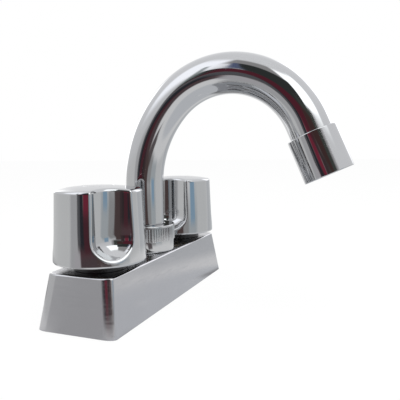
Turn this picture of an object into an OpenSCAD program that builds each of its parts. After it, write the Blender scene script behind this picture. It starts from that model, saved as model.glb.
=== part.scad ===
// Two-handle basin mixer tap on a wedge-sided base, with a gooseneck spout that swivels.
// The origin is the middle of the base on the deck plane. +Z is up, the inlets lie along X,
// and the spout reaches out towards -Y.

/* [Base] */
// Length of the base cover at the deck
base_length = 152; // [148:1:170]
// Width of the base cover at the deck
base_width = 45; // [44:1:60]
// Length of the base cover's flat top
base_top_length = 142; // [139:1:147]
// Width of the base cover's flat top
base_top_width = 37; // [36.6:0.2:43]
// Height of the base cover's top above the deck
base_height = 28.5; // [28:0.5:36]
// Radius of the base cover's upright corners
base_corner_r = 4; // [2:0.5:6]
// Chamfer round the base cover's top
base_edge = 0.8; // [0.4:0.1:1.2]
// Wall of the base cover
cover_wall = 1.3; // [1:0.1:1.6]
// Gap between the base cover's rim and the deck
rim_gap = 0.4; // [0.2:0.1:0.8]
// Thickness of the foam gasket under the base
gasket_thickness = 1.5; // [1:0.1:2]
// Thickness of the bottom plate
plate_thickness = 2; // [1.5:0.1:2.5]
// Distance from the cover's rim in to the edge of the plate
plate_inset = 2.5; // [2.3:0.1:4]

/* [Inlets] */
// Distance between the two inlets
handle_spacing = 101.6; // [101:0.1:102.2]
// Radius over the thread of an inlet shank
shank_r = 10.45; // [10:0.05:10.8]
// Radius over the thread at the shank's free end, for the supply nut
shank_end_r = 10.3; // [9.9:0.05:10.4]
// Length of the free end
shank_end_length = 16; // [12:1:20]
// Radius of a shank's waterway
shank_bore_r = 7; // [6:0.5:7.5]
// Depth that a shank screws into its valve tower
shank_engagement = 6.5; // [5:0.5:7]
// Thickness of the deck between gasket and washers
deck_thickness = 25; // [15:1:35]
// Radius of a mounting washer
washer_r = 16; // [14:0.5:19]
// Thickness of a mounting washer
washer_thickness = 2.5; // [2:0.5:4]
// Radius of a mounting nut's round body
nut_r = 14.5; // [13:0.5:16]
// Height of a mounting nut
nut_height = 8; // [6:0.5:10]
// Span over two opposite wings of a mounting nut
nut_span = 42; // [36:1:48]
// Thickness of a wing
wing_thickness = 4; // [3:0.5:6]

/* [Towers, boss and cross tubes] */
// Outer radius of a valve tower
tower_r = 12.8; // [12.5:0.1:14]
// Radius over the thread on top of a valve tower
tower_thread_r = 11.5; // [11.3:0.1:12]
// Height of that thread above the cover
tower_thread_height = 3.7; // [3:0.1:3.8]
// Outer radius of the cross tube
cross_r = 6.8; // [6:0.2:7.4]
// Radius of the waterway in the cross tube
cross_bore_r = 4.6; // [4:0.1:5]
// Radius over the thread on the middle boss
boss_r = 15; // [14.5:0.1:15.4]
// Width of the step under the boss's thread
boss_step = 1.5; // [1:0.1:1.8]
// Radius of the mixing chamber
chamber_r = 8; // [7:0.1:8.6]
// Thickness of the floor under the mixing chamber
chamber_floor = 4.5; // [3:0.5:5]
// Metal left between a tower's bore and the end of its cross tube
tower_web = 0.6; // [0.5:0.1:1]
// Metal left between the boss's bore and the ends of the cross tubes
boss_web = 3; // [2:0.5:4]

/* [Valves] */
// Outer radius of a cartridge body
cartridge_r = 9.5; // [9.4:0.1:10]
// Wall of the cartridge round its discs
cartridge_wall = 0.9; // [0.8:0.1:1]
// Thickness of one ceramic disc
disc_thickness = 2.5; // [2:0.1:2.8]
// Radius of a port through the discs
port_r = 2.1; // [1.5:0.1:2.2]
// Distance of a port from the disc's middle
port_offset = 4.8; // [4.6:0.1:5]
// Thickness of the rubber seal on the seat
seal_thickness = 1.5; // [1:0.1:2]
// Thickness of the metal between shank and seat
seat_web = 1.5; // [1:0.1:2]
// Width over flats of the cartridge's hexagon
hex_flats = 19; // [17:0.5:20]
// Height of the cartridge's hexagon
hex_height = 4.5; // [3:0.5:5]
// Radius of the cartridge's neck
neck_r = 7; // [6.5:0.1:7.4]
// Height of the neck above the hexagon
neck_height = 3; // [2:0.5:4]
// Radius of the stem's journal
stem_r = 4.4; // [4.2:0.1:4.6]
// Radius over the stem's splines
spline_r = 4; // [3.8:0.1:4.1]
// Depth of a spline
spline_depth = 0.4; // [0.3:0.05:0.5]
// Number of splines
spline_count = 20; // [16:1:24]
// Length of the splined end inside the handle
spline_length = 13.5; // [10:0.5:15]
// Radius of the black ring that clamps the cover
bonnet_ring_r = 14; // [13.5:0.1:15]
// Height of the black ring
bonnet_ring_height = 4.4; // [4:0.1:5]

/* [Handles] */
// Radius of a knob at its bottom
knob_bottom_r = 24; // [23.4:0.1:26]
// Radius of a knob at its top
knob_top_r = 22.5; // [22:0.1:23.3]
// Height of a knob's side
knob_height = 37.3; // [35:0.5:42]
// Gap between the base cover and a knob
knob_gap = 4.1; // [3.5:0.1:5]
// Rise of the knob's domed top
knob_dome = 1.6; // [1.2:0.1:3]
// Wall of a knob
knob_wall = 1.8; // [1.4:0.1:2]
// Rounding of a knob's upper edge
knob_edge_r = 1.8; // [1:0.1:2.5]
// Rounding of a knob's lower edge
knob_rim_r = 1; // [0.5:0.1:1.5]
// Number of finger hollows round a knob
hollow_count = 3; // [3:1:3]
// Radius of a finger hollow
hollow_r = 14; // [13:0.5:15]
// Distance of a finger hollow's axis from the knob's axis
hollow_offset = 30; // [29:0.5:32]
// Height above the knob's lower edge at which a finger hollow's round end starts
hollow_rise = 13.5; // [13:0.5:16]
// Depth of that round end
hollow_drop = 11; // [9:0.5:12]
// Turn of the knobs' front hollows away from the spout, at rest
knob_turn = 40; // [0:1:60]
// Radius of an index cap
cap_r = 8; // [7:0.1:8.2]
// Radius of a handle screw's head
screw_head_r = 3.8; // [3.2:0.1:4.5]
// Radius of a handle screw's thread
screw_r = 2; // [1.6:0.1:2.2]

/* [Spout] */
// Outer radius of the spout's tube
tube_r = 11.5; // [10.8:0.1:12]
// Wall of the spout's tube
tube_wall = 1; // [0.8:0.1:1.2]
// Height at which the spout begins to bend
riser_height = 69; // [60:1:90]
// Radius of the spout's first, wider bend
bend_a_r = 69.5; // [60:0.5:80]
// Angle of the first bend
bend_a = 43.3; // [30:0.1:60]
// Radius of the spout's second bend
bend_b_r = 48; // [40:0.5:56]
// Angle of the second bend
bend_b = 113; // [100:0.5:125]
// Straight length between the bend and the aerator
tail_visible = 6.5; // [4:0.5:12]
// Radius of the spout's plug in the mixing boss
plug_r = 9.4; // [9:0.1:9.8]
// Radius of the waterway through the plug
plug_bore_r = 6.5; // [5.5:0.1:6.6]
// Length of the plug below its flange
plug_length = 12.7; // [12.2:0.1:13.5]
// Radius of the flange that the collar nut holds
flange_r = 14; // [13.6:0.1:14.2]
// Thickness of the flange
flange_thickness = 3; // [2.5:0.1:3.5]
// Height of the spigot in the spout's tube
spigot_height = 8.5; // [6:0.5:12]
// Thickness of an O-ring
o_ring_thickness = 1.7; // [1.5:0.1:1.8]
// Thickness of a glide ring
glide_thickness = 0.8; // [0.6:0.1:1]

/* [Collar nut] */
// Radius over the collar nut's knurl
collar_r = 17.8; // [17.4:0.1:18.4]
// Height of the collar nut
collar_height = 16; // [15.8:0.1:18]
// Thickness of the collar nut's lip over the flange
collar_lip = 2.3; // [2:0.1:2.6]
// Height of the smooth skirt under the knurl
skirt_height = 6.8; // [5:0.1:8]
// Height of the plain bead over the knurl
bead_height = 1.4; // [1:0.1:2]
// Number of ridges in the knurl
knurl_count = 72; // [60:1:84]
// Depth of the knurl
knurl_depth = 0.5; // [0.3:0.05:0.6]

/* [Aerator] */
// Outer radius of the aerator's housing
aerator_r = 13.6; // [13.2:0.1:14.5]
// Length of the housing
aerator_length = 24; // [22:0.5:28]
// Depth that the tube reaches into the housing
tube_entry = 8.5; // [6:0.5:9]
// Wall of the housing round the aerator's insert
aerator_wall = 2.3; // [2:0.1:2.5]
// Width and height of the housing's lip
aerator_lip = 1.6; // [1.2:0.1:2]
// Thickness of the rubber washer
aerator_washer_thickness = 1.8; // [1.5:0.1:2.5]
// Thickness of the outlet screen
screen_thickness = 2; // [1.5:0.1:2.5]
// Radius of a hole in the screen
screen_hole_r = 1; // [0.6:0.1:1.1]
// Distance between holes in the screen
screen_pitch = 3.2; // [3:0.1:3.4]
// Chamfer on the housing's edges
aerator_edge = 0.7; // [0.4:0.1:1]

/* [Fits] */
// Radial gap of a running or screwed fit
fit_gap = 0.05; // [0.03:0.01:0.08]
// Gap between faces that slide on each other
face_gap = 0.05; // [0.03:0.01:0.08]
// Radial gap round a piece that only passes through
pass_gap = 0.35; // [0.32:0.01:0.4]

/* [Hidden] */
$fn = 96;
left = -1;
right = 1;

// Overlap of shapes that are joined, and thickness of the slabs that a hull is drawn over
lap = 0.1;
sliver = 0.01;

// Heights from the deck up through the towers and the boss
plate_z = gasket_thickness;
body_z = plate_z + plate_thickness;
cover_inner_z = base_height - cover_wall;
plate_corner_r = base_corner_r - 1;
cover_hole_gap = 0.2;
shank_top_z = body_z + shank_engagement;
seat_z = shank_top_z + seat_web;
seal_top_z = seat_z + seal_thickness;
fixed_top_z = seal_top_z + disc_thickness;
moving_z = fixed_top_z + face_gap;
moving_top_z = moving_z + disc_thickness;
cross_z = cover_inner_z - cross_r - rim_gap;
window_r = cross_bore_r - 2;
bearing_z = cross_z + window_r + 1.9;
tower_top_z = base_height + tower_thread_height;
hex_top_z = tower_top_z + hex_height;
neck_top_z = hex_top_z + neck_height;
tower_bore_r = cartridge_r + fit_gap;
disc_room_r = cartridge_r - cartridge_wall;
fixed_disc_r = disc_room_r - fit_gap;
moving_disc_r = disc_room_r - pass_gap;
disc_edge = 0.5;
foot_height = 2;
foot_width = 4;

// Heights of the stem's clip and splines, and of the handle
clip_z = neck_top_z + 2 * face_gap;
clip_thickness = 1;
clip_groove_r = spline_r - spline_depth - 0.1;
clip_r = neck_r - 1;
bonnet_ring_edge = 0.6;
knob_z = base_height + knob_gap;
hub_z = clip_z + clip_thickness + 2.5;
stem_top_z = hub_z + spline_length;
hub_web = 4;
pocket_z = stem_top_z + hub_web + fit_gap;
screw_head_height = 2.8;
screw_length = 12;
screw_slot = [0.6 * screw_head_r * 2, 1, 1.2];
cap_plate_z = pocket_z + screw_head_height + 1.2;
cap_skirt_z = pocket_z + 1.4;
cap_skirt_r = cap_r - 0.4;
cap_skirt_wall = 1.2;
hub_r = spline_r + 2.5;
pocket_wall = 1.8;
dome_base_r = knob_top_r - knob_edge_r;
dome_r = (dome_base_r * dome_base_r + knob_dome * knob_dome) / (2 * knob_dome);
dome_centre_z = knob_z + knob_height + knob_dome - dome_r;

// Heights of the swivel joint under the collar nut
collar_top_z = base_height + collar_height;
lip_z = collar_top_z - collar_lip;
flange_top_z = lip_z - glide_thickness - face_gap;
flange_z = flange_top_z - flange_thickness;
glide_top_z = flange_z - face_gap;
boss_top_z = glide_top_z - glide_thickness;
boss_bore_r = plug_r + fit_gap;
plug_z = flange_z - plug_length;
chamber_top_z = plug_z - 0.6;
chamber_floor_z = body_z + chamber_floor;
tower_stop = tower_bore_r + tower_web;
boss_stop = boss_bore_r + boss_web;
collar_bore_r = boss_r + fit_gap;
collar_hole_r = tube_r + pass_gap;
skirt_r = collar_r - 0.3;
skirt_edge = 1.2;
bead_edge = 0.6;
spigot_r = tube_r - tube_wall - fit_gap;
o_ring_r = o_ring_thickness / 2;
o_ring_places = [plug_z + plug_length * 0.25, plug_z + plug_length * 0.65];
o_ring_room = 0.1;
stem_groove_z = (bearing_z + neck_top_z) / 2;

// Path of the spout, in the plane of Y and Z
seam = 0.03;
seam_lap = 0.2;
bend_total = bend_a + bend_b;
bend_a_y = -bend_a_r;
bend_b_y = bend_a_y + (bend_a_r - bend_b_r) * cos(bend_a);
bend_b_z = riser_height + (bend_a_r - bend_b_r) * sin(bend_a);
outlet_y = bend_b_y + bend_b_r * cos(bend_total);
outlet_z = bend_b_z + bend_b_r * sin(bend_total);

// Distances along the outlet's axis from the end of the bend
aerator_start = tail_visible;
aerator_end = aerator_start + aerator_length;
tube_end = aerator_start + tube_entry;
washer_end = tube_end + aerator_washer_thickness;
screen_end = aerator_end - aerator_lip;
insert_end = screen_end - screen_thickness;
insert_room_r = aerator_r - aerator_wall;
insert_r = insert_room_r - fit_gap;
insert_floor = 2;
insert_wall = 1.5;
jet_count = 8;
jet_r = 1;
jet_offset = insert_r * 0.6;

// Places below the deck
washer_z = -deck_thickness - washer_thickness;
nut_z = washer_z - nut_height;
runout_length = 1.5;
runout_depth = 1;
runout_z = nut_z - 0.5 - runout_length;
shank_end_z = runout_z - shank_end_length;
shank_hole_r = shank_r + 0.15;

chrome = [0.80, 0.81, 0.83];
brass = [0.78, 0.62, 0.32];
black = [0.07, 0.07, 0.08];
white_plastic = [0.86, 0.86, 0.84];
ceramic = [0.93, 0.92, 0.90];

// Points of a round corner or arc, from angle a0 to a1
function arc(x, y, r, a0, a1, n) = [
    for (i = [0:n]) let (a = a0 + (a1 - a0) * i / n) [x + r * cos(a), y + r * sin(a)]
];

// Points of a ring of ridges
function ridges(r, depth, count) = [
    for (i = [0:2 * count - 1]) let (a = 180 * i / count, q = i % 2 == 0 ? r : r - depth)
        [q * cos(a), q * sin(a)]
];

module ring(outer, inner, z0, z1) {
    translate([0, 0, z0]) difference() {
        cylinder(r = outer, h = z1 - z0);
        translate([0, 0, -1]) cylinder(r = inner, h = z1 - z0 + 2);
    }
}

module at_handle(side) {
    translate([side * handle_spacing / 2, 0, 0]) children();
}

module at_both_handles() {
    for (side = [left, right]) at_handle(side) children();
}

// A slab with round upright corners and a chamfered top, tapering from the deck up
module wedge(length, width, top_length, top_width, z0, z1, r, edge) {
    slope_x = (length - top_length) / 2 / base_height;
    slope_y = (width - top_width) / 2 / base_height;
    hull() for (level = [[z0, 0], [z1 - edge, 0], [z1 - sliver, edge]])
        for (sx = [-1, 1]) for (sy = [-1, 1])
            translate([
                sx * (length / 2 - slope_x * level[0] - r),
                sy * (width / 2 - slope_y * level[0] - r), level[0]
            ]) cylinder(r = r - level[1], h = sliver, $fn = 32);
}

module base_cover() {
    color(chrome) difference() {
        wedge(base_length, base_width, base_top_length, base_top_width,
            rim_gap, base_height, base_corner_r, base_edge);
        wedge(base_length - 2 * cover_wall, base_width - 2 * cover_wall,
            base_top_length - 2 * cover_wall, base_top_width - 2 * cover_wall,
            rim_gap - 1, cover_inner_z, base_corner_r - cover_wall, 0);
        translate([0, 0, cover_inner_z - 1]) {
            at_both_handles() cylinder(r = tower_thread_r + cover_hole_gap, h = cover_wall + 2);
            cylinder(r = boss_r + cover_hole_gap, h = cover_wall + 2);
        }
    }
}

// One flat layer under the base, with the holes for the inlets
module under_base(z0, z1) {
    x = base_length / 2 - plate_inset - plate_corner_r;
    y = base_width / 2 - plate_inset - plate_corner_r;
    difference() {
        translate([0, 0, z0]) linear_extrude(z1 - z0) polygon(concat(
            arc(x, y, plate_corner_r, 0, 90, 6), arc(-x, y, plate_corner_r, 90, 180, 6),
            arc(-x, -y, plate_corner_r, 180, 270, 6), arc(x, -y, plate_corner_r, 270, 360, 6)
        ));
        at_both_handles() translate([0, 0, z0 - 1]) cylinder(r = shank_hole_r, h = z1 - z0 + 2);
    }
}

module base_plate() {
    color(white_plastic) under_base(plate_z, body_z);
}

module base_gasket() {
    color(black) under_base(0, plate_z);
}

// Places its children along the cross tube on one side, with +Z away from the middle of the tap
module along_cross(side) {
    translate([0, 0, cross_z]) rotate([0, side * 90, 0]) children();
}

module valve_tower(side) {
    color(brass) difference() {
        union() {
            translate([0, 0, body_z]) cylinder(r = tower_r, h = cover_inner_z - body_z);
            translate([0, 0, body_z]) cylinder(r = tower_thread_r, h = tower_top_z - body_z);
        }
        translate([0, 0, body_z - 1]) cylinder(r = shank_r + fit_gap, h = shank_engagement + 1);
        translate([0, 0, body_z]) cylinder(r = shank_bore_r, h = seat_z);
        translate([0, 0, seat_z]) cylinder(r = tower_bore_r, h = tower_top_z);
        along_cross(-side) {
            cylinder(r = cross_bore_r, h = tower_r + 1);
            translate([0, 0, tower_stop]) cylinder(r = cross_r + fit_gap, h = tower_r);
        }
    }
}

module mixing_boss() {
    color(brass) difference() {
        union() {
            translate([0, 0, body_z]) cylinder(r = boss_r + boss_step, h = cover_inner_z - body_z);
            translate([0, 0, body_z]) cylinder(r = boss_r, h = boss_top_z - body_z);
        }
        translate([0, 0, chamber_floor_z]) cylinder(r = chamber_r, h = boss_top_z);
        translate([0, 0, chamber_top_z]) cylinder(r = boss_bore_r, h = boss_top_z);
        for (side = [left, right]) along_cross(side) {
            cylinder(r = cross_bore_r, h = boss_r + boss_step + 1);
            translate([0, 0, boss_stop]) cylinder(r = cross_r + fit_gap, h = boss_r);
        }
    }
}

module cross_tube(side) {
    color(brass) along_cross(side)
        ring(cross_r, cross_bore_r, boss_stop, handle_spacing / 2 - tower_stop);
}

module shank() {
    color(brass) difference() {
        union() {
            translate([0, 0, runout_z + runout_length])
                cylinder(r = shank_r, h = shank_top_z - runout_z - runout_length);
            translate([0, 0, shank_end_z])
                cylinder(r = shank_end_r - runout_depth, h = shank_top_z - shank_end_z);
            translate([0, 0, shank_end_z]) cylinder(r = shank_end_r, h = shank_end_length);
        }
        translate([0, 0, shank_end_z - 1]) cylinder(r = shank_bore_r, h = shank_top_z - shank_end_z + 2);
    }
}

module mounting_washer() {
    color(black) ring(washer_r, shank_hole_r, washer_z, washer_z + washer_thickness);
}

module mounting_nut() {
    color(white_plastic) difference() {
        translate([0, 0, nut_z]) union() {
            cylinder(r = nut_r, h = nut_height);
            for (turn = [0, 90]) rotate([0, 0, turn])
                translate([-nut_span / 2, -wing_thickness / 2, 0])
                    cube([nut_span, wing_thickness, nut_height - 1]);
        }
        translate([0, 0, nut_z - 1]) cylinder(r = shank_r + fit_gap, h = nut_height + 2);
    }
}

module seat_seal() {
    color(black) ring(fixed_disc_r - disc_edge, port_offset + port_r, seat_z, seal_top_z);
}

module disc(r, z0, port_turn) {
    difference() {
        translate([0, 0, z0]) cylinder(r = r, h = disc_thickness);
        rotate([0, 0, port_turn]) for (s = [-1, 1])
            translate([s * port_offset, 0, z0 - 1]) cylinder(r = port_r, h = disc_thickness + 2);
    }
}

module fixed_disc() {
    color(ceramic) disc(fixed_disc_r, seal_top_z, 0);
}

// The moving disc has its ports a quarter turn away, so the valve is shut at rest
module moving_disc() {
    color(ceramic) disc(moving_disc_r, moving_z, 90);
}

module cartridge_body() {
    color(brass) difference() {
        union() {
            translate([0, 0, seat_z + face_gap]) cylinder(r = cartridge_r, h = tower_top_z - seat_z);
            translate([0, 0, tower_top_z]) cylinder(r = hex_flats / sqrt(3), h = hex_height, $fn = 6);
            translate([0, 0, tower_top_z]) cylinder(r = neck_r, h = hex_height + neck_height);
        }
        translate([0, 0, seat_z - 1]) cylinder(r = disc_room_r, h = bearing_z - seat_z + 1);
        translate([0, 0, seat_z]) cylinder(r = stem_r + fit_gap, h = neck_top_z);
        translate([-cartridge_r - 1, 0, cross_z]) rotate([0, 90, 0])
            cylinder(r = window_r, h = 2 * cartridge_r + 2);
    }
}

module stem_splines(r, z0, z1) {
    translate([0, 0, z0]) linear_extrude(z1 - z0) polygon(ridges(r, spline_depth, spline_count));
}

module stem() {
    groove = o_ring_r + o_ring_room;
    color(brass) difference() {
        union() {
            translate([0, 0, moving_top_z + foot_height - lap])
                cylinder(r = stem_r, h = clip_z - moving_top_z - foot_height + lap);
            translate([0, 0, clip_z]) cylinder(r = clip_groove_r, h = clip_thickness);
            stem_splines(spline_r, clip_z + clip_thickness, stem_top_z);
            translate([0, 0, moving_top_z]) intersection() {
                cylinder(r = moving_disc_r - disc_edge, h = foot_height);
                translate([-moving_disc_r, -foot_width / 2, 0])
                    cube([2 * moving_disc_r, foot_width, foot_height]);
            }
        }
        ring(stem_r + 1, stem_r - o_ring_thickness, stem_groove_z - groove, stem_groove_z + groove);
        translate([0, 0, stem_top_z - screw_length]) cylinder(r = screw_r + fit_gap, h = screw_length + 1);
    }
}

module o_ring(outer, z) {
    translate([0, 0, z]) rotate_extrude() translate([outer - o_ring_r, 0]) circle(r = o_ring_r);
}

module stem_o_ring() {
    color(black) o_ring(stem_r, stem_groove_z);
}

module stem_clip() {
    color(chrome) ring(clip_r, clip_groove_r + fit_gap, clip_z, clip_z + clip_thickness);
}

module bonnet_ring() {
    color(black) translate([0, 0, base_height]) rotate_extrude() polygon([
        [tower_thread_r + fit_gap, 0], [bonnet_ring_r, 0],
        [bonnet_ring_r, bonnet_ring_height - bonnet_ring_edge],
        [bonnet_ring_r - bonnet_ring_edge, bonnet_ring_height],
        [tower_thread_r + fit_gap, bonnet_ring_height]
    ]);
}

// The knob before its finger hollows are cut, or with an inset, the space inside its wall
module knob_blank(inset) {
    taper = atan((knob_bottom_r - knob_top_r) / knob_height);
    dome_angle = asin(dome_base_r / dome_r);
    outside = concat(
        arc(knob_bottom_r - knob_rim_r, knob_rim_r, knob_rim_r, -90, taper, 5),
        arc(knob_top_r - knob_edge_r, knob_height - knob_edge_r, knob_edge_r, taper, 90 - dome_angle, 6),
        arc(0, dome_centre_z - knob_z, dome_r, 90 - dome_angle, 90, 8)
    );
    inside = [
        [knob_bottom_r - inset, -1], [knob_bottom_r - inset, knob_rim_r],
        [knob_top_r - inset, knob_height - knob_edge_r - inset],
        [dome_base_r - inset, knob_height - inset], [0, knob_height - inset]
    ];
    rotate_extrude() polygon(concat([[0, inset > 0 ? -1 : 0]], inset > 0 ? inside : outside));
}

// A round-ended cutter, grown by the wall where it shapes the inside
module hollow_cutter(grow) {
    r = hollow_r + grow;
    drop = hollow_drop + grow;
    rotate_extrude() intersection() {
        union() {
            scale([1, drop / r]) circle(r = r);
            square([r, knob_height]);
        }
        translate([0, -drop]) square([r, drop + knob_height]);
    }
}

module hollows(grow) {
    for (i = [0:hollow_count - 1]) rotate([0, 0, 360 * i / hollow_count])
        translate([hollow_offset, 0, hollow_rise]) hollow_cutter(grow);
}

module knob(side) {
    color(chrome) translate([0, 0, knob_z]) rotate([0, 0, side * knob_turn - 90]) {
        difference() {
            knob_blank(0);
            hollows(0);
            difference() {
                knob_blank(knob_wall);
                hollows(knob_wall);
                translate([0, 0, pocket_z - knob_z - pocket_wall])
                    cylinder(r = cap_r + pocket_wall, h = knob_height);
            }
            translate([0, 0, pocket_z - knob_z]) cylinder(r = cap_r + fit_gap, h = knob_height);
            cylinder(r = screw_r + fit_gap, h = knob_height);
        }
    }
}

// The broached core that the knob is fixed to and that slides onto the stem
module handle_insert() {
    color(brass) difference() {
        translate([0, 0, hub_z]) cylinder(r = hub_r, h = pocket_z - pocket_wall - face_gap - hub_z);
        stem_splines(spline_r + fit_gap, hub_z - 1, stem_top_z + fit_gap);
        translate([0, 0, hub_z]) cylinder(r = screw_r + fit_gap, h = knob_height);
    }
}

module handle_screw() {
    color(chrome) difference() {
        union() {
            translate([0, 0, pocket_z + face_gap]) cylinder(r = screw_head_r, h = screw_head_height);
            translate([0, 0, pocket_z - screw_length]) cylinder(r = screw_r, h = screw_length + 1);
        }
        translate([0, 0, pocket_z + face_gap + screw_head_height]) for (turn = [0, 90])
            rotate([0, 0, turn]) cube([screw_slot.x, screw_slot.y, 2 * screw_slot.z], center = true);
    }
}

module index_cap() {
    color(chrome) intersection() {
        union() {
            translate([0, 0, cap_plate_z]) cylinder(r = cap_r, h = knob_height);
            ring(cap_skirt_r, cap_skirt_r - cap_skirt_wall, cap_skirt_z, cap_plate_z + lap);
        }
        translate([0, 0, dome_centre_z]) sphere(r = dome_r, $fn = 360);
    }
}

module collar_nut() {
    knurl_z = base_height + skirt_height;
    bead_z = collar_top_z - bead_height;
    color(chrome) difference() {
        union() {
            translate([0, 0, base_height]) rotate_extrude() polygon(concat(
                [[0, 0]], arc(skirt_r - skirt_edge, skirt_edge, skirt_edge, -90, 0, 5),
                [[skirt_r, skirt_height + lap], [0, skirt_height + lap]]
            ));
            translate([0, 0, knurl_z]) linear_extrude(bead_z - knurl_z)
                polygon(ridges(collar_r, knurl_depth, knurl_count));
            translate([0, 0, bead_z - lap]) rotate_extrude() polygon([
                [0, 0], [collar_r, 0], [collar_r, bead_height + lap - bead_edge],
                [collar_r - bead_edge, bead_height + lap], [0, bead_height + lap]
            ]);
        }
        translate([0, 0, base_height - 1]) cylinder(r = collar_bore_r, h = lip_z - base_height + 1);
        translate([0, 0, base_height]) cylinder(r = collar_hole_r, h = collar_height + 1);
    }
}

module upper_glide_ring() {
    color(white_plastic) ring(boss_r, collar_hole_r, lip_z - glide_thickness, lip_z);
}

module lower_glide_ring() {
    color(white_plastic) ring(flange_r, boss_bore_r, boss_top_z, glide_top_z);
}

module spout_plug() {
    groove = o_ring_r + o_ring_room;
    color(brass) difference() {
        union() {
            translate([0, 0, plug_z]) cylinder(r = plug_r, h = plug_length);
            translate([0, 0, flange_z]) cylinder(r = flange_r, h = flange_thickness);
            translate([0, 0, flange_z]) cylinder(r = spigot_r, h = flange_thickness + spigot_height);
        }
        translate([0, 0, plug_z - 1])
            cylinder(r = plug_bore_r, h = plug_length + flange_thickness + spigot_height + 2);
        for (z = o_ring_places)
            ring(plug_r + 1, plug_r - o_ring_thickness - fit_gap, z - groove, z + groove);
    }
}

module spout_o_rings() {
    color(black) for (z = o_ring_places) o_ring(plug_r, z);
}

// Each length of the tube is a hair thinner than the one before, and starts just inside its wall
module tube_section(step) {
    difference() {
        circle(r = tube_r - step * seam);
        circle(r = tube_r - tube_wall + step * seam);
    }
}

module tube_bend(y, z, r, start, sweep, step) {
    lap_angle = seam_lap / r * 180 / PI;
    translate([0, y, z]) rotate([90, 0, 90]) rotate([0, 0, start - lap_angle])
        rotate_extrude(angle = sweep + lap_angle) translate([r, 0]) tube_section(step);
}

// Places its children with +Z along the flow, at the end of the last bend
module at_outlet() {
    translate([0, outlet_y, outlet_z]) rotate([bend_total, 0, 0]) children();
}

module spout_tube() {
    color(chrome) union() {
        translate([0, 0, flange_top_z]) linear_extrude(riser_height - flange_top_z) tube_section(0);
        tube_bend(bend_a_y, riser_height, bend_a_r, 0, bend_a, 1);
        tube_bend(bend_b_y, bend_b_z, bend_b_r, bend_a, bend_b, 2);
        at_outlet() translate([0, 0, -seam_lap]) linear_extrude(tube_end + seam_lap) tube_section(3);
    }
}

module aerator_housing() {
    color(chrome) at_outlet() difference() {
        translate([0, 0, aerator_start]) rotate_extrude() polygon([
            [0, 0], [aerator_r - aerator_edge, 0], [aerator_r, aerator_edge],
            [aerator_r, aerator_length - aerator_edge], [aerator_r - aerator_edge, aerator_length],
            [0, aerator_length]
        ]);
        translate([0, 0, aerator_start - 1]) cylinder(r = tube_r + fit_gap, h = tube_entry + 1);
        translate([0, 0, tube_end]) cylinder(r = insert_room_r, h = screen_end - tube_end);
        translate([0, 0, tube_end]) cylinder(r = insert_room_r - aerator_lip, h = aerator_length);
    }
}

module aerator_washer() {
    color(black) at_outlet() ring(insert_r, tube_r - tube_wall - 1, tube_end, washer_end);
}

// A cup with a ring of jets through its floor
module aerator_insert() {
    color(white_plastic) at_outlet() difference() {
        translate([0, 0, washer_end]) cylinder(r = insert_r, h = insert_end - washer_end);
        translate([0, 0, washer_end + insert_floor])
            cylinder(r = insert_r - insert_wall, h = aerator_length);
        for (i = [1:jet_count]) rotate([0, 0, 360 * i / jet_count])
            translate([jet_offset, 0, washer_end - 1]) cylinder(r = jet_r, h = insert_floor + 2);
    }
}

module screen_hole() {
    cylinder(r = screen_hole_r, h = screen_thickness + 2);
}

module aerator_screen() {
    color(white_plastic) at_outlet() difference() {
        translate([0, 0, insert_end]) cylinder(r = insert_r, h = screen_thickness);
        translate([0, 0, insert_end - 1]) {
            screen_hole();
            for (i = [0:5]) rotate([0, 0, 60 * i]) {
                translate([screen_pitch, 0, 0]) screen_hole();
                translate([2 * screen_pitch, 0, 0]) screen_hole();
                translate([screen_pitch * 1.5, screen_pitch * sqrt(3) / 2, 0]) screen_hole();
            }
        }
    }
}

base_cover();
base_plate();
base_gasket();
at_handle(left) valve_tower(left);  // left_valve_tower
at_handle(right) valve_tower(right);  // right_valve_tower
mixing_boss();
cross_tube(left);  // left_cross_tube
cross_tube(right);  // right_cross_tube
at_handle(left) shank();  // left_shank
at_handle(right) shank();  // right_shank
at_handle(left) mounting_washer();  // left_mounting_washer
at_handle(right) mounting_washer();  // right_mounting_washer
at_handle(left) mounting_nut();  // left_mounting_nut
at_handle(right) mounting_nut();  // right_mounting_nut
at_handle(left) seat_seal();  // left_seat_seal
at_handle(right) seat_seal();  // right_seat_seal
at_handle(left) fixed_disc();  // left_fixed_disc
at_handle(right) fixed_disc();  // right_fixed_disc
at_handle(left) moving_disc();  // left_moving_disc
at_handle(right) moving_disc();  // right_moving_disc
at_handle(left) cartridge_body();  // left_cartridge_body
at_handle(right) cartridge_body();  // right_cartridge_body
at_handle(left) stem();  // left_stem
at_handle(right) stem();  // right_stem
at_handle(left) stem_o_ring();  // left_stem_o_ring
at_handle(right) stem_o_ring();  // right_stem_o_ring
at_handle(left) stem_clip();  // left_stem_clip
at_handle(right) stem_clip();  // right_stem_clip
at_handle(left) bonnet_ring();  // left_bonnet_ring
at_handle(right) bonnet_ring();  // right_bonnet_ring
at_handle(left) knob(left);  // left_knob
at_handle(right) knob(right);  // right_knob
at_handle(left) handle_insert();  // left_handle_insert
at_handle(right) handle_insert();  // right_handle_insert
at_handle(left) handle_screw();  // left_handle_screw
at_handle(right) handle_screw();  // right_handle_screw
at_handle(left) index_cap();  // left_index_cap
at_handle(right) index_cap();  // right_index_cap
collar_nut();
upper_glide_ring();
lower_glide_ring();
spout_plug();
spout_o_rings();
spout_tube();
aerator_housing();
aerator_washer();
aerator_insert();
aerator_screen();
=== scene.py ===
"""Dresses a two-handle basin mixer tap in chrome, brass, rubber and plastic.

Sizes in the classes are millimetres in the row frame. Meshes are made in metres.
"""

import logging
import math
from collections.abc import Iterable, Sequence
from dataclasses import dataclass, field
from enum import Enum

import bmesh
import bpy
import numpy as np
from mathutils import Matrix, Vector


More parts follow.
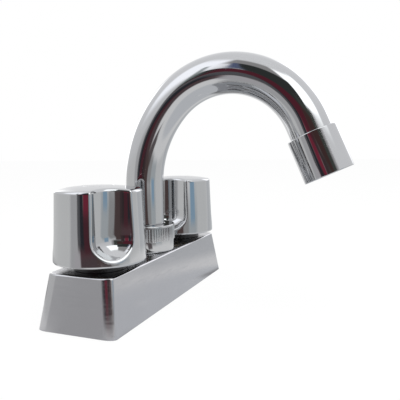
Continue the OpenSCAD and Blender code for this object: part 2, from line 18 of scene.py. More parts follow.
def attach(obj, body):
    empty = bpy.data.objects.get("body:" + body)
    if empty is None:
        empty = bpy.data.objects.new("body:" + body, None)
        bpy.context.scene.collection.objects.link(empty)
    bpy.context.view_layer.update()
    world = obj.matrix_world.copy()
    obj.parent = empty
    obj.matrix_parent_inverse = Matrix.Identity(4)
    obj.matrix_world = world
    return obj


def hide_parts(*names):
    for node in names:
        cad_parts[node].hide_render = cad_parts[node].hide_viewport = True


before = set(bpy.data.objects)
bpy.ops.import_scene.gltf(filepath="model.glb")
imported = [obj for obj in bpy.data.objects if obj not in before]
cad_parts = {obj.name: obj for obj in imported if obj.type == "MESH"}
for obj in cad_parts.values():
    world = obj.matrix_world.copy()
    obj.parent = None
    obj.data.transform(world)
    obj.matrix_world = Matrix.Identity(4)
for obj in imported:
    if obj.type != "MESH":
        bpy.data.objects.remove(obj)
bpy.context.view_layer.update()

LOG = logging.getLogger("basin_mixer_tap")
MM = 0.001
FULL_TURN = 2.0 * math.pi
CRISP_ANGLE = math.radians(32.0)
BEVEL_ANGLE = math.radians(35.0)
HANDLE_SPACING = 101.6
Colour = tuple[float, float, float]
Profile = Sequence[tuple[float, float]]
Wire = bpy.types.Node | bpy.types.NodeSocket | float | int | bool


class Side(Enum):
    """The two sides of the tap, as seen by who stands at the basin."""

    LEFT = -1
    RIGHT = 1

    @property
    def label(self) -> str:
        """The word that starts the names of this side's pieces."""
        return self.name.lower()

    @property
    def axis_x(self) -> float:
        """Where this side's valve stands along X, in millimetres."""
        return self.value * HANDLE_SPACING / 2

    @property
    def place(self) -> Matrix:
        """The move from the swivel axis to this side's valve, in millimetres."""
        return Matrix.Translation((self.axis_x, 0.0, 0.0))


def bare_material(name: str) -> bpy.types.Material:
    """Starts a material with no nodes.

    Args:
        name: The material's name.

    Returns:
        The material.
    """
    material = bpy.data.materials.new(name)
    material.use_nodes = True
    material.node_tree.nodes.clear()
    return material


def shown(name: str, data: bpy.types.ID) -> bpy.types.Object:
    """Puts a mesh, a lamp or a camera into the scene.

    Args:
        name: The new object's name.
        data: What it shows.

    Returns:
        The object, at the origin.
    """
    thing = bpy.data.objects.new(name, data)
    bpy.context.scene.collection.objects.link(thing)
    return thing


# Finishes


class ShaderGraph:
    """Builds one procedural material round a Principled shader."""

    def __init__(self, name: str) -> None:
        """Starts an empty material.

        Args:
            name: The material's name.
        """
        self.material = bare_material(name)
        self.tree = self.material.node_tree
        output = self.add("ShaderNodeOutputMaterial")
        self.shader = self.add("ShaderNodeBsdfPrincipled")
        self.link(self.shader.outputs["BSDF"], output.inputs["Surface"])
        self.place = self.add("ShaderNodeTexCoord").outputs["Object"]

    def add(self, kind: str, **values: object) -> bpy.types.Node:
        """Adds a node.

        Args:
            kind: The node's type name.
            **values: Properties of the node to set.

        Returns:
            The new node.
        """
        node = self.tree.nodes.new(kind)
        for name, value in values.items():
            setattr(node, name, value)
        return node

    def link(self, source: bpy.types.NodeSocket, target: bpy.types.NodeSocket) -> None:
        """Joins two sockets."""
        self.tree.links.new(source, target)

    def set(self, **values: float | tuple[float, ...]) -> None:
        """Sets plain values on the shader's own sockets.

        Args:
            **values: A value for each socket, named with underscores for spaces.
        """
        for name, value in values.items():
            self.shader.inputs[name.replace("_", " ")].default_value = value

    def stretched(self, scale: tuple[float, float, float]) -> bpy.types.NodeSocket:
        """Stretches the object's own coordinates.

        Args:
            scale: The factor along each axis.

        Returns:
            The stretched coordinates.
        """
        mapping = self.add("ShaderNodeMapping")
        mapping.inputs["Scale"].default_value = scale
        self.link(self.place, mapping.inputs["Vector"])
        return mapping.outputs["Vector"]

    def noise(self, scale: float, detail: float = 3.0,
              place: bpy.types.NodeSocket | None = None) -> bpy.types.NodeSocket:
        """Adds a noise pattern.

        Args:
            scale: Features for each metre.
            detail: Octaves of the noise.
            place: Coordinates, or None for the object's own.

        Returns:
            The pattern, from 0 to 1.
        """
        node = self.add("ShaderNodeTexNoise")
        node.inputs["Scale"].default_value = scale
        node.inputs["Detail"].default_value = detail
        self.link(place or self.place, node.inputs["Vector"])
        return node.outputs["Fac"]

    def spots(self, scale: float, radius: float) -> bpy.types.NodeSocket:
        """Adds soft round spots, such as dried drops.

        Args:
            scale: Spots for each metre.
            radius: Share of a cell that a spot covers.

        Returns:
            The pattern, 1 inside a spot and 0 outside.
        """
        node = self.add("ShaderNodeTexVoronoi")
        node.inputs["Scale"].default_value = scale
        self.link(self.place, node.inputs["Vector"])
        return self.remap(node.outputs["Distance"], radius * 0.5, radius, 1.0, 0.0)

    def remap(self, source: bpy.types.NodeSocket, low: float, high: float,
              to_low: float, to_high: float) -> bpy.types.NodeSocket:
        """Maps one range onto another.

        Args:
            source: The value to map.
            low: Start of its range.
            high: End of its range.
            to_low: What low becomes.
            to_high: What high becomes.

        Returns:
            The mapped value, held inside the new range.
        """
        node = self.add("ShaderNodeMapRange")
        limits = {"From Min": low, "From Max": high, "To Min": to_low, "To Max": to_high}
        for name, value in limits.items():
            node.inputs[name].default_value = value
        self.link(source, node.inputs["Value"])
        return node.outputs["Result"]

    def plus(self, first: bpy.types.NodeSocket, second: bpy.types.NodeSocket) -> bpy.types.NodeSocket:
        """Adds two values."""
        node = self.add("ShaderNodeMath", operation="ADD")
        self.link(first, node.inputs[0])
        self.link(second, node.inputs[1])
        return node.outputs["Value"]

    def blend(self, factor: bpy.types.NodeSocket, first: Colour,
              second: Colour) -> bpy.types.NodeSocket:
        """Mixes two colours by a pattern.

        Args:
            factor: The pattern.
            first: The colour where it is 0.
            second: The colour where it is 1.

        Returns:
            The mixed colour.
        """
        node = self.add("ShaderNodeMix", data_type="RGBA")
        sockets = [socket for socket in node.inputs if socket.type == "RGBA"]
        for socket, colour in zip(sockets, (first, second)):
            socket.default_value = (*colour, 1.0)
        self.link(factor, node.inputs["Factor"])
        return next(socket for socket in node.outputs if socket.type == "RGBA")

    def bump(self, height: bpy.types.NodeSocket, depth: float,
             under: bpy.types.NodeSocket | None = None) -> bpy.types.NodeSocket:
        """Turns a pattern into relief.

        Args:
            height: The pattern.
            depth: Its depth in millimetres.
            under: Normal of the relief below this one.

        Returns:
            The normal.
        """
        node = self.add("ShaderNodeBump")
        node.inputs["Strength"].default_value = 1.0
        node.inputs["Distance"].default_value = depth * MM
        self.link(height, node.inputs["Height"])
        if under is not None:
            self.link(under, node.inputs["Normal"])
        return node.outputs["Normal"]

    def finish(self, colour: bpy.types.NodeSocket, roughness: bpy.types.NodeSocket,
               normal: bpy.types.NodeSocket) -> bpy.types.Material:
        """Joins the three patterns to the shader.

        Args:
            colour: The base colour.
            roughness: The roughness.
            normal: The relief.

        Returns:
            The finished material.
        """
        self.link(colour, self.shader.inputs["Base Color"])
        self.link(roughness, self.shader.inputs["Roughness"])
        self.link(normal, self.shader.inputs["Normal"])
        return self.material


def toned(colour: Colour, factor: float) -> Colour:
    """Returns a colour made lighter or darker by a factor."""
    return tuple(min(1.0, channel * factor) for channel in colour)


@dataclass(frozen=True)
class Finish:
    """A named finish. Its subclasses say how it is built."""

    name: str
    slot: str
    colour: Colour

    def build(self) -> bpy.types.Material:
        """Builds the material."""
        raise NotImplementedError

    def material(self) -> bpy.types.Material:
        """Returns the material, built on first use."""
        return bpy.data.materials.get(self.name) or self.build()


@dataclass(frozen=True)
class ChromePlate(Finish):
    """Polished chrome plate with faint waves, wipe marks and dried drops."""

    gloss: float = 0.045
    wave_depth: float = 0.004

    def build(self) -> bpy.types.Material:
        """Builds the material."""
        graph = ShaderGraph(self.name)
        graph.set(Metallic=1.0)
        clouds = graph.noise(38.0, 4.0)
        wipes = graph.noise(60.0, 5.0, graph.stretched((2.0, 2.0, 12.0)))
        drops = graph.spots(150.0, 0.16)
        dulling = graph.plus(
            graph.remap(wipes, 0.35, 0.75, self.gloss, self.gloss * 1.9),
            graph.remap(drops, 0.0, 1.0, 0.0, 0.03))
        waves = graph.bump(graph.noise(120.0, 1.0), self.wave_depth)
        relief = graph.bump(graph.noise(1400.0, 2.0), 0.0004, waves)
        return graph.finish(graph.blend(clouds, self.colour, toned(self.colour, 0.93)), dulling, relief)


@dataclass(frozen=True)
class MachinedBrass(Finish):
    """Turned brass with tool rings, dull patches and a little tarnish."""

    tarnish: Colour = (0.42, 0.29, 0.12)

    def build(self) -> bpy.types.Material:
        """Builds the material."""
        graph = ShaderGraph(self.name)
        graph.set(Metallic=1.0)
        stains = graph.remap(graph.noise(45.0, 6.0), 0.45, 0.75, 0.0, 0.65)
        rings = graph.noise(500.0, 2.0, graph.stretched((0.12, 0.12, 4.0)))
        grain = graph.bump(graph.noise(2200.0, 3.0), 0.01)
        return graph.finish(
            graph.blend(stains, self.colour, self.tarnish),
            graph.remap(rings, 0.3, 0.7, 0.24, 0.42),
            graph.bump(rings, 0.02, grain))


@dataclass(frozen=True)
class PlainSteel(Finish):
    """Stainless steel with a fine directional grain."""

    def build(self) -> bpy.types.Material:
        """Builds the material."""
        graph = ShaderGraph(self.name)
        graph.set(Metallic=1.0)
        grain = graph.noise(900.0, 3.0, graph.stretched((1.0, 1.0, 0.15)))
        return graph.finish(
            graph.blend(graph.noise(70.0), self.colour, toned(self.colour, 0.85)),
            graph.remap(grain, 0.3, 0.7, 0.2, 0.36),
            graph.bump(grain, 0.006))


@dataclass(frozen=True)
class Moulded(Finish):
    """Moulded plastic with a fine skin, faint flow marks and rubbed patches."""

    roughness: float = 0.42
    skin_depth: float = 0.012

    def build(self) -> bpy.types.Material:
        """Builds the material."""
        graph = ShaderGraph(self.name)
        flow = graph.noise(55.0, 4.0)
        skin = graph.noise(1800.0, 2.0)
        rubbed = graph.noise(28.0, 6.0)
        waves = graph.bump(graph.noise(140.0, 1.0), self.skin_depth * 1.5)
        return graph.finish(
            graph.blend(flow, self.colour, toned(self.colour, 0.86)),
            graph.remap(rubbed, 0.35, 0.7, self.roughness, self.roughness * 0.72),
            graph.bump(skin, self.skin_depth, waves))


@dataclass(frozen=True)
class Elastomer(Finish):
    """Rubber or foam with a dusty bloom and open pores."""

    pore_scale: float = 1200.0
    pore_depth: float = 0.03

    def build(self) -> bpy.types.Material:
        """Builds the material."""
        graph = ShaderGraph(self.name)
        bloom = graph.remap(graph.noise(60.0, 6.0), 0.45, 0.8, 0.0, 0.5)
        pores = graph.noise(self.pore_scale, 4.0)
        return graph.finish(
            graph.blend(bloom, self.colour, toned(self.colour, 2.2)),
            graph.remap(bloom, 0.0, 0.5, 0.62, 0.82),
            graph.bump(pores, self.pore_depth))


@dataclass(frozen=True)
class FiredCeramic(Finish):
    """Lapped alumina, faintly speckled, with a soft polish."""

    def build(self) -> bpy.types.Material:
        """Builds the material."""
        graph = ShaderGraph(self.name)
        specks = graph.noise(2600.0, 2.0)
        return graph.finish(
            graph.blend(specks, self.colour, toned(self.colour, 0.9)),
            graph.remap(graph.noise(90.0, 4.0), 0.3, 0.7, 0.14, 0.24),
            graph.bump(specks, 0.002))


CHROME = ChromePlate("polished_chrome", "chrome", (0.51, 0.515, 0.525))
SOFT_CHROME = ChromePlate("soft_sheen_chrome", "chrome", (0.47, 0.47, 0.485), 0.13, 0.003)
BRASS = MachinedBrass("turned_brass", "brass", (0.72, 0.54, 0.26))
STEEL = PlainSteel("stainless_steel", "steel", (0.60, 0.61, 0.63))
BLACK_PLASTIC = Moulded("black_moulding", "black_plastic", (0.018, 0.018, 0.020), 0.38)
WHITE_PLASTIC = Moulded("white_moulding", "white_plastic", (0.80, 0.80, 0.77), 0.45)
GLIDE_PLASTIC = Moulded("glide_ring_moulding", "glide_plastic", (0.86, 0.86, 0.84), 0.34, 0.006)
RUBBER = Elastomer("black_rubber", "rubber", (0.030, 0.030, 0.033))
FOAM = Elastomer("closed_cell_foam", "foam_rubber", (0.055, 0.055, 0.060), 700.0, 0.12)
CERAMIC = FiredCeramic("lapped_ceramic", "ceramic", (0.88, 0.87, 0.84))


# Mesh making


def circle(radius: float, height: float, angles: np.ndarray) -> np.ndarray:
    """Points of a level circle.

    Args:
        radius: Its radius.
        height: Its height.
        angles: The angle of each point, in radians.

    Returns:
        An array of points.
    """
    heights = np.full(len(angles), height)
    return np.column_stack((radius * np.cos(angles), radius * np.sin(angles), heights))


def even_angles(count: int) -> np.ndarray:
    """Returns that many angles, evenly spaced round a full turn."""
    return np.arange(count) * FULL_TURN / count


def corner(centre: tuple[float, float], radius: float, start: float, end: float, steps: int) -> list:
    """Points of a rounded corner in a profile.

    Args:
        centre: Radius and height of the corner's centre.
        radius: The corner's own radius.
        start: Angle of the first point, in degrees.
        end: Angle of the last point, in degrees.
        steps: Number of steps between them.

    Returns:
        A list of points, each a radius and a height.
    """
    return [
        (centre[0] + radius * math.cos(math.radians(a)), centre[1] + radius * math.sin(math.radians(a)))
        for a in np.linspace(start, end, steps + 1)
    ]


@dataclass
class Shell:
    """A closed mesh in the making, in millimetres."""

    points: list[np.ndarray] = field(default_factory=list)
    normals: list[np.ndarray] = field(default_factory=list)
    faces: list[tuple[int, ...]] = field(default_factory=list)
    curved: list[bool] = field(default_factory=list)
    count: int = 0

    def add_points(self, points: np.ndarray, normals: np.ndarray | None = None) -> int:
        """Adds points.

        Args:
            points: The points.
            normals: Their exact surface normals, where they are known.

        Returns:
            The number of the first of them.
        """
        first = self.count
        self.points.append(np.asarray(points, float))
        unknown = np.zeros((len(points), 3))
        self.normals.append(unknown if normals is None else np.asarray(normals, float))
        self.count += len(points)
        return first

    def add_rings(self, rings: Sequence[np.ndarray], looped: bool = False,
                  normals: Sequence[np.ndarray | None] | None = None) -> list[int]:
        """Joins rings of equally many points by four-sided faces.

        Args:
            rings: The rings, in order.
            looped: True if the last ring joins the first.
            normals: Exact normals for the rings that have them.

        Returns:
            The number of each ring's first point.
        """
        known = normals or [None] * len(rings)
        firsts = [self.add_points(ring, normal) for ring, normal in zip(rings, known)]
        size = len(rings[0])
        pairs = list(zip(range(len(rings) - 1), range(1, len(rings))))
        if looped:
            pairs.append((len(rings) - 1, 0))
        for low, high in pairs:
            exact = known[low] is not None and known[high] is not None
            for i in range(size):
                j = (i + 1) % size
                corners = firsts[low] + i, firsts[low] + j, firsts[high] + j, firsts[high] + i
                self.add_face(corners, exact)
        return firsts

    def add_lathe(self, profile: Profile, sides: int) -> None:
        """Turns a closed profile round the Z axis.

        Args:
            profile: Points of radius and height. If it meets the axis, it starts and ends on it.
            sides: Faces round the axis.
        """
        angles = even_angles(sides)
        solid = profile[0][0] == 0.0
        rings = [circle(r, z, angles) for r, z in (profile[1:-1] if solid else profile)]
        firsts = self.add_rings(rings, looped=not solid)
        if solid:
            for (_, height), first in ((profile[0], firsts[0]), (profile[-1], firsts[-1])):
                pole = self.add_points(np.array([[0.0, 0.0, height]]))
                for i in range(sides):
                    self.add_face((first + i, first + (i + 1) % sides, pole))

    def add_face(self, corners: Sequence[int], curved: bool = False) -> None:
        """Adds one face over points that are there already."""
        self.faces.append(tuple(corners))
        self.curved.append(curved)

    def make(self, name: str, place: Matrix | None = None) -> bpy.types.Object:
        """Makes the mesh object, with its place in its mesh.

        Args:
            name: The piece's name.
            place: Where it goes in the row frame, in millimetres.

        Returns:
            The object, at the origin.
        """
        mesh = bpy.data.meshes.new(name)
        mesh.from_pydata(np.vstack(self.points).tolist(), [], self.faces)
        work = bmesh.new()
        work.from_mesh(mesh)
        bmesh.ops.recalc_face_normals(work, faces=work.faces)
        work.to_mesh(mesh)
        work.free()
        mesh.shade_smooth()
        mesh.set_sharp_from_angle(angle=CRISP_ANGLE)
        if any(self.curved):
            normals = np.vstack(self.normals)
            custom = np.zeros((len(mesh.loops), 3))
            for face, exact in zip(mesh.polygons, self.curved):
                if exact:
                    for loop in face.loop_indices:
                        custom[loop] = normals[mesh.loops[loop].vertex_index]
            mesh.normals_split_custom_set(custom.tolist())
        mesh.transform(Matrix.Scale(MM, 4) @ (place or Matrix.Identity(4)))
        return shown(name, mesh)


def turned(name: str, profile: Profile, sides: int, place: Matrix | None = None) -> bpy.types.Object:
    """Makes a piece that is round its axis.

    Args:
        name: The piece's name.
        profile: Points of radius and height.
        sides: Faces round the axis.
        place: Where it goes in the row frame, in millimetres.

    Returns:
        The object, at the origin.
    """
    shell = Shell()
    shell.add_lathe(profile, sides)
    return shell.make(name, place)


def soften(thing: bpy.types.Object, width: float = 0.0, segments: int = 2) -> bpy.types.Object:
    """Rounds a piece's crisp edges and keeps its broad faces flat in the light.

    Args:
        thing: The piece.
        width: Width of the rounding in millimetres, or 0 for none.
        segments: Steps of the rounding.

    Returns:
        The same piece.
    """
    if width > 0.0:
        bevel = thing.modifiers.new("rounded_edges", "BEVEL")
        bevel.width = width * MM
        bevel.segments = segments
        bevel.limit_method = "ANGLE"
        bevel.angle_limit = BEVEL_ANGLE
        bevel.use_clamp_overlap = True
    weighted = thing.modifiers.new("broad_faces", "WEIGHTED_NORMAL")
    weighted.keep_sharp = True
    weighted.weight = 80
    return thing


def joined(name: str, parts: Sequence[bpy.types.Object]) -> bpy.types.Object:
    """Joins several objects into one.

    Args:
        name: The new object's name.
        parts: The objects, which are used up.

    Returns:
        The joined object.
    """
    work = bmesh.new()
    for part in parts:
        work.from_mesh(part.data)
    mesh = bpy.data.meshes.new(name)
    work.to_mesh(mesh)
    work.free()
    for part in parts:
        bpy.data.objects.remove(part)
    mesh.set_sharp_from_angle(angle=CRISP_ANGLE)
    return shown(name, mesh)


class NodeForm:
    """A Geometry Nodes tree that makes a repeated or swept form.

    What feeds an input is a number, a socket, or a node whose first output is meant.
    """

    def __init__(self, name: str) -> None:
        """Starts a tree that takes and gives a mesh.

        Args:
            name: The tree's name.
        """
        self.tree = bpy.data.node_groups.new(name, "GeometryNodeTree")
        self.tree.interface.new_socket("Geometry", in_out="INPUT", socket_type="NodeSocketGeometry")
        self.tree.interface.new_socket("Geometry", in_out="OUTPUT", socket_type="NodeSocketGeometry")
        self.identifiers: dict[str, str] = {}
        self.entry = self.tree.nodes.new("NodeGroupInput")
        self.exit = self.tree.nodes.new("NodeGroupOutput")

    def size(self, name: str, kind: str = "Float") -> bpy.types.NodeSocket:
        """Adds a named input.

        Args:
            name: The input's name.
            kind: Its socket type's last word.

        Returns:
            The socket that gives its value.
        """
        item = self.tree.interface.new_socket(name, in_out="INPUT", socket_type=f"NodeSocket{kind}")
        self.identifiers[name] = item.identifier
        return self.entry.outputs[name]

    def sizes(self, *names: str) -> list[bpy.types.NodeSocket]:
        """Adds several named inputs that are plain numbers."""
        return [self.size(name) for name in names]

    def feed(self, target: bpy.types.NodeSocket, value: Wire) -> None:
        """Joins or sets one input.

        Args:
            target: The input.
            value: What feeds it.
        """
        if isinstance(value, bpy.types.Node):
            self.tree.links.new(value.outputs[0], target)
        elif isinstance(value, bpy.types.NodeSocket):
            self.tree.links.new(value, target)
        else:
            target.default_value = value

    def add(self, kind: str, settings: dict[str, str] | None = None, **inputs: Wire) -> bpy.types.Node:
        """Adds a node and joins or sets its inputs.

        Args:
            kind: The node's type name.
            settings: Properties of the node to set first.
            **inputs: What feeds each input, named with underscores for spaces.

        Returns:
            The new node.
        """
        node = self.tree.nodes.new(kind)
        for name, value in (settings or {}).items():
            setattr(node, name, value)
        for name, value in inputs.items():
            self.feed(node.inputs[name.replace("_", " ")], value)
        return node

    def maths(self, operation: str, first: Wire, second: Wire) -> bpy.types.Node:
        """Combines two values.

        Args:
            operation: The operation's name.
            first: The first value.
            second: The second value.

        Returns:
            The node that gives the result.
        """
        node = self.add("ShaderNodeMath", {"operation": operation})
        for target, value in zip(node.inputs, (first, second)):
            self.feed(target, value)
        return node

    def raised(self, form: Wire, low: Wire, height: Wire, aside: Wire = 0.0) -> bpy.types.Node:
        """Moves a centred form so that it stands at a height.

        Args:
            form: The form.
            low: Where its lower end goes.
            height: How tall it is.
            aside: How far it goes along X.

        Returns:
            The node that gives the moved form.
        """
        middle = self.maths("ADD", low, self.maths("MULTIPLY", height, 0.5))
        lift = self.add("ShaderNodeCombineXYZ", X=aside, Z=middle)
        return self.add("GeometryNodeTransform", Geometry=form, Translation=lift)

    def close(self, geometry: bpy.types.Node) -> None:
        """Ends the tree: real copies, one material.

        Args:
            geometry: What the tree has made.
        """
        material = self.size("Material", "Material")
        real = self.add("GeometryNodeRealizeInstances", Geometry=geometry)
        self.feed(self.exit.inputs[0], self.add("GeometryNodeSetMaterial", Geometry=real,
                                                Material=material))

    def grow(self, name: str, start: bpy.types.Object | None, finish: Finish,
             **sizes: float) -> bpy.types.Object:
        """Runs the tree and keeps its result as a plain mesh.

        Args:
            name: The new object's name.
            start: The object that the tree starts from, which is used up, or None.
            finish: What it is made of.
            **sizes: A value for each named input, with underscores for spaces.

        Returns:
            The new object.
        """
        base = start or shown(name + "_seed", bpy.data.meshes.new(name + "_seed"))
        modifier = base.modifiers.new("form", "NODES")
        modifier.node_group = self.tree
        for key, value in sizes.items():
            modifier[self.identifiers[key.replace("_", " ")]] = value
        modifier[self.identifiers["Material"]] = finish.material()
        graph = bpy.context.evaluated_depsgraph_get()
        mesh = bpy.data.meshes.new_from_object(base.evaluated_get(graph))
        base.modifiers.remove(modifier)
        bpy.data.objects.remove(base)
        mesh.name = name
        return shown(name, mesh)


def place_piece(thing: bpy.types.Object, body: str, finish: Finish, *nodes: str) -> None:
    """Gives a piece its finish and its body, and lets it stand for CAD nodes.

    Args:
        thing: The piece.
        body: The CAD body that it rides on.
        finish: What it is made of.
        *nodes: The CAD nodes that it stands for.
    """
    thing.data.materials.clear()
    thing.data.materials.append(finish.material())
    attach(thing, body)
    if nodes:
        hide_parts(*nodes)
    LOG.info("%s: %d faces, rides on %s, %s", thing.name, len(thing.data.polygons), body, finish.name)


def dress(finish: Finish, nodes: Iterable[str]) -> None:
    """Gives CAD nodes that keep their own shape a finish.

    Args:
        finish: What they are made of.
        nodes: Their names.
    """
    for name in nodes:
        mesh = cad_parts[name].data
        mesh.materials.clear()
        mesh.materials.append(finish.material())
        LOG.info("%s: CAD node in %s", name, finish.name)


def both(name: str) -> list[str]:
    """Names a piece on both sides."""
    return [f"{side.label}_{name}" for side in Side]


# Sub-assemblies


def round_max(first: np.ndarray, second: np.ndarray, radius: float) -> np.ndarray:
    """Distance to the overlap of two shapes, whose shared edge is rounded.

    Args:
        first: Distances outside the first shape.
        second: Distances outside the second shape.
        radius: Radius of the rounding.

    Returns:
        Distances outside both.
    """
    outer = np.hypot(np.maximum(radius + first, 0.0), np.maximum(radius + second, 0.0))
    return np.minimum(-radius, np.maximum(first, second)) + outer


@dataclass
class Knob:
    """One handle: a tall knob with three finger hollows, an index cap and what holds it."""

    side: Side
    base_z: float = 32.6
    bottom_r: float = 24.0
    top_r: float = 22.5
    height: float = 37.3
    dome: float = 1.6
    dome_inset: float = 1.8
    top_edge: float = 1.5
    rim_edge: float = 1.0
    wall: float = 1.8
    hollow_r: float = 14.0
    hollow_offset: float = 30.0
    hollow_rise: float = 17.6
    hollow_ball_r: float = 15.4
    hollow_cove: float = 1.2
    hollow_edge: float = 1.2
    hollow_count: int = 3
    turn: float = 40.0
    cap_r: float = 8.0
    cap_gap: float = 0.05
    cap_edge: float = 0.35
    cap_sides: int = 72
    cap_plate: float = 4.0
    cap_skirt_z: float = 62.25
    cap_skirt_wall: float = 1.2
    screw_hole_r: float = 2.05
    pocket_z: float = 60.85
    rim_height: float = 6.0
    side_top: float = 30.0
    inner_top: float = 24.0
    walk_steps: int = 160
    normal_step: float = 0.02

    @property
    def body(self) -> str:
        """The CAD body that the handle's pieces ride on."""
        return f"{self.side.label}_handle"

    @property
    def dome_r(self) -> float:
        """Radius of the sphere that the domed top is part of."""
        reach = self.top_r - self.dome_inset
        return (reach * reach + self.dome * self.dome) / (2.0 * self.dome)

    def dome_height(self, radius: float) -> float:
        """Height of the domed top above the knob's lower edge, at a distance from the axis."""
        return self.height + self.dome - self.dome_r + math.sqrt(self.dome_r**2 - radius * radius)

    def from_hollow(self, x: np.ndarray, y: np.ndarray, z: np.ndarray) -> np.ndarray:
        """Distance of points from the finger hollow on the X axis, whose lower end is part of a ball.

        Args:
            x: Distances from the knob's axis, towards the hollow.
            y: Distances to the side.
            z: Heights above the knob's lower edge.

        Returns:
            A distance for each, negative in the hollow.
        """
        aside = np.hypot(x - self.hollow_offset, y)
        reach = np.hypot(aside, np.minimum(z - self.hollow_rise, 0.0))
        return round_max(aside - self.hollow_r, reach - self.hollow_ball_r, self.hollow_cove)

    def outside(self, points: np.ndarray, with_rim: bool) -> np.ndarray:
        """Distance of points outside the knob's skin.

        Args:
            points: The points, with one hollow on the X axis.
            with_rim: True if the flat lower edge counts.

        Returns:
            A distance for each, negative inside.
        """
        radius = np.hypot(points[..., 0], points[..., 1])
        sector = FULL_TURN / self.hollow_count
        angle = np.arctan2(points[..., 1], points[..., 0])
        angle = angle - sector * np.round(angle / sector)
        x, y, z = radius * np.cos(angle), radius * np.sin(angle), points[..., 2]
        taper = math.atan((self.bottom_r - self.top_r) / self.height)
        side = (radius - self.bottom_r) * math.cos(taper) + z * math.sin(taper)
        skin = round_max(side, -self.from_hollow(x, y, z), self.hollow_edge)
        centre = self.height + self.dome - self.dome_r
        skin = round_max(skin, np.hypot(radius, z - centre) - self.dome_r, self.top_edge)
        return round_max(skin, -z, self.rim_edge) if with_rim else skin

    def found(self, angles: np.ndarray, start: float, slope: float, depth: float,
              with_rim: bool) -> tuple[np.ndarray, np.ndarray]:
        """Finds a ring of points on the skin, by walking out from the axis.

        Args:
            angles: Direction of each walk round the axis, in radians.
            start: Height at which the walks start.
            slope: How steeply they rise, in radians.
            depth: How far under the skin they stop.
            with_rim: True if the flat lower edge counts.

        Returns:
            The points and the skin's normals there.
        """
        way = circle(math.cos(slope), math.sin(slope), angles)
        origin = np.array([0.0, 0.0, start])
        travelled = np.zeros(len(angles))
        for _ in range(self.walk_steps):
            travelled -= self.outside(origin + way * travelled[:, None], with_rim) + depth
        points = origin + way * travelled[:, None]
        normals = np.column_stack([
            self.outside(points + step, with_rim) - self.outside(points - step, with_rim)
            for step in self.normal_step * np.eye(3)])
        return points, normals / np.linalg.norm(normals, axis=1)[:, None]

    def angles(self) -> np.ndarray:
        """Returns directions round the knob, closest together at the hollows' edges."""
        half_sector = 180.0 / self.hollow_count
        half = np.concatenate((
            np.arange(0.0, 22.0, 1.8), np.arange(22.0, 30.0, 0.4), np.arange(30.0, half_sector, 2.4)))
        sector = np.concatenate((-half[:0:-1], half, [half_sector]))
        return np.radians(np.concatenate([
            sector + 2.0 * half_sector * i for i in range(self.hollow_count)]))

    def shell(self) -> bpy.types.Object:
        """Builds the knob with its skin, pocket and inner wall as one closed shell."""
        angles = self.angles()
        rim_reach = math.atan(self.rim_height / (self.bottom_r - self.wall + 0.1))
        walks = [(self.rim_height, -rim_reach * (1.0 - i / 12.0)) for i in range(12)]
        walks += [(z, 0.0) for z in np.concatenate((
            np.arange(self.rim_height, 15.0, 0.5), np.arange(15.0, self.side_top, 2.0)))]
        slopes = np.radians(np.concatenate((
            np.arange(0.0, 11.0, 2.0), np.arange(11.0, 34.0, 0.75), np.arange(34.0, 41.0, 2.0))))
        walks += [(self.side_top, slope) for slope in slopes]
        skin = [self.found(angles, start, slope, 0.0, True) for start, slope in walks]
        rings: list[np.ndarray] = [ring for ring, _ in skin]
        normals: list[np.ndarray | None] = [normal for _, normal in skin]
        mouth = self.cap_r + self.cap_gap
        rings.append(circle(mouth + 0.3, self.dome_height(mouth + 0.3), angles))
        normals.append(np.tile([0.0, 0.0, 1.0], (len(angles), 1)))
        floor = self.pocket_z - self.base_z
        wall_r = mouth + self.wall
        pocket = [
            (mouth, self.dome_height(mouth) - 0.25), (mouth, floor), (self.screw_hole_r, floor),
            (self.screw_hole_r, floor - self.wall), (wall_r, floor - self.wall),
            (wall_r, self.dome_height(wall_r) - self.wall),
        ]
        rings += [circle(radius, height, angles) for radius, height in pocket]
        normals += [None] * len(pocket)
        inside = [(self.inner_top, slope) for slope in np.radians(np.arange(47.0, 1.0, -3.0))]
        inside += [(z, 0.0) for z in np.arange(self.inner_top, 0.9, -1.5)]
        for start, slope in inside:
            ring, normal = self.found(angles, start, slope, self.wall, False)
            rings.append(ring)
            normals.append(-normal)
        rings.append(circle(self.bottom_r - self.wall, 0.0, angles))
        normals.append(None)
        shell = Shell()
        shell.add_rings(rings, looped=True, normals=normals)
        turn = math.radians(self.side.value * self.turn - 90.0)
        lift = Matrix.Translation((0.0, 0.0, self.base_z))
        place = self.side.place @ lift @ Matrix.Rotation(turn, 4, "Z")
        return shell.make(f"{self.side.label}_knob_shell", place)

    def index_cap(self) -> bpy.types.Object:
        """Builds the domed cap over the screw, with its thin clip-in skirt."""
        def top(radius: float) -> float:
            """Height of the cap's top at a distance from its axis."""
            return self.base_z + self.dome_height(radius) - 0.02

        edge, skirt = self.cap_edge, self.cap_r - 0.4
        skirt_bore = skirt - self.cap_skirt_wall
        plate = self.pocket_z + self.cap_plate
        profile = [(0.0, top(0.0))] + [(r, top(r)) for r in np.linspace(0.8, self.cap_r - edge, 9)]
        profile += corner((self.cap_r - edge, top(self.cap_r) - edge), edge, 70.0, 0.0, 4)
        profile += [(self.cap_r, plate), (skirt, plate), (skirt, self.cap_skirt_z),
                    (skirt_bore, self.cap_skirt_z), (skirt_bore, plate), (0.0, plate)]
        label = self.side.label
        return soften(turned(f"{label}_index_cap_domed", profile, self.cap_sides, self.side.place))

    def build(self) -> None:
        """Builds and dresses the handle."""
        label = self.side.label
        place_piece(self.shell(), self.body, CHROME, f"{label}_knob")
        place_piece(self.index_cap(), self.body, CHROME, f"{label}_index_cap")


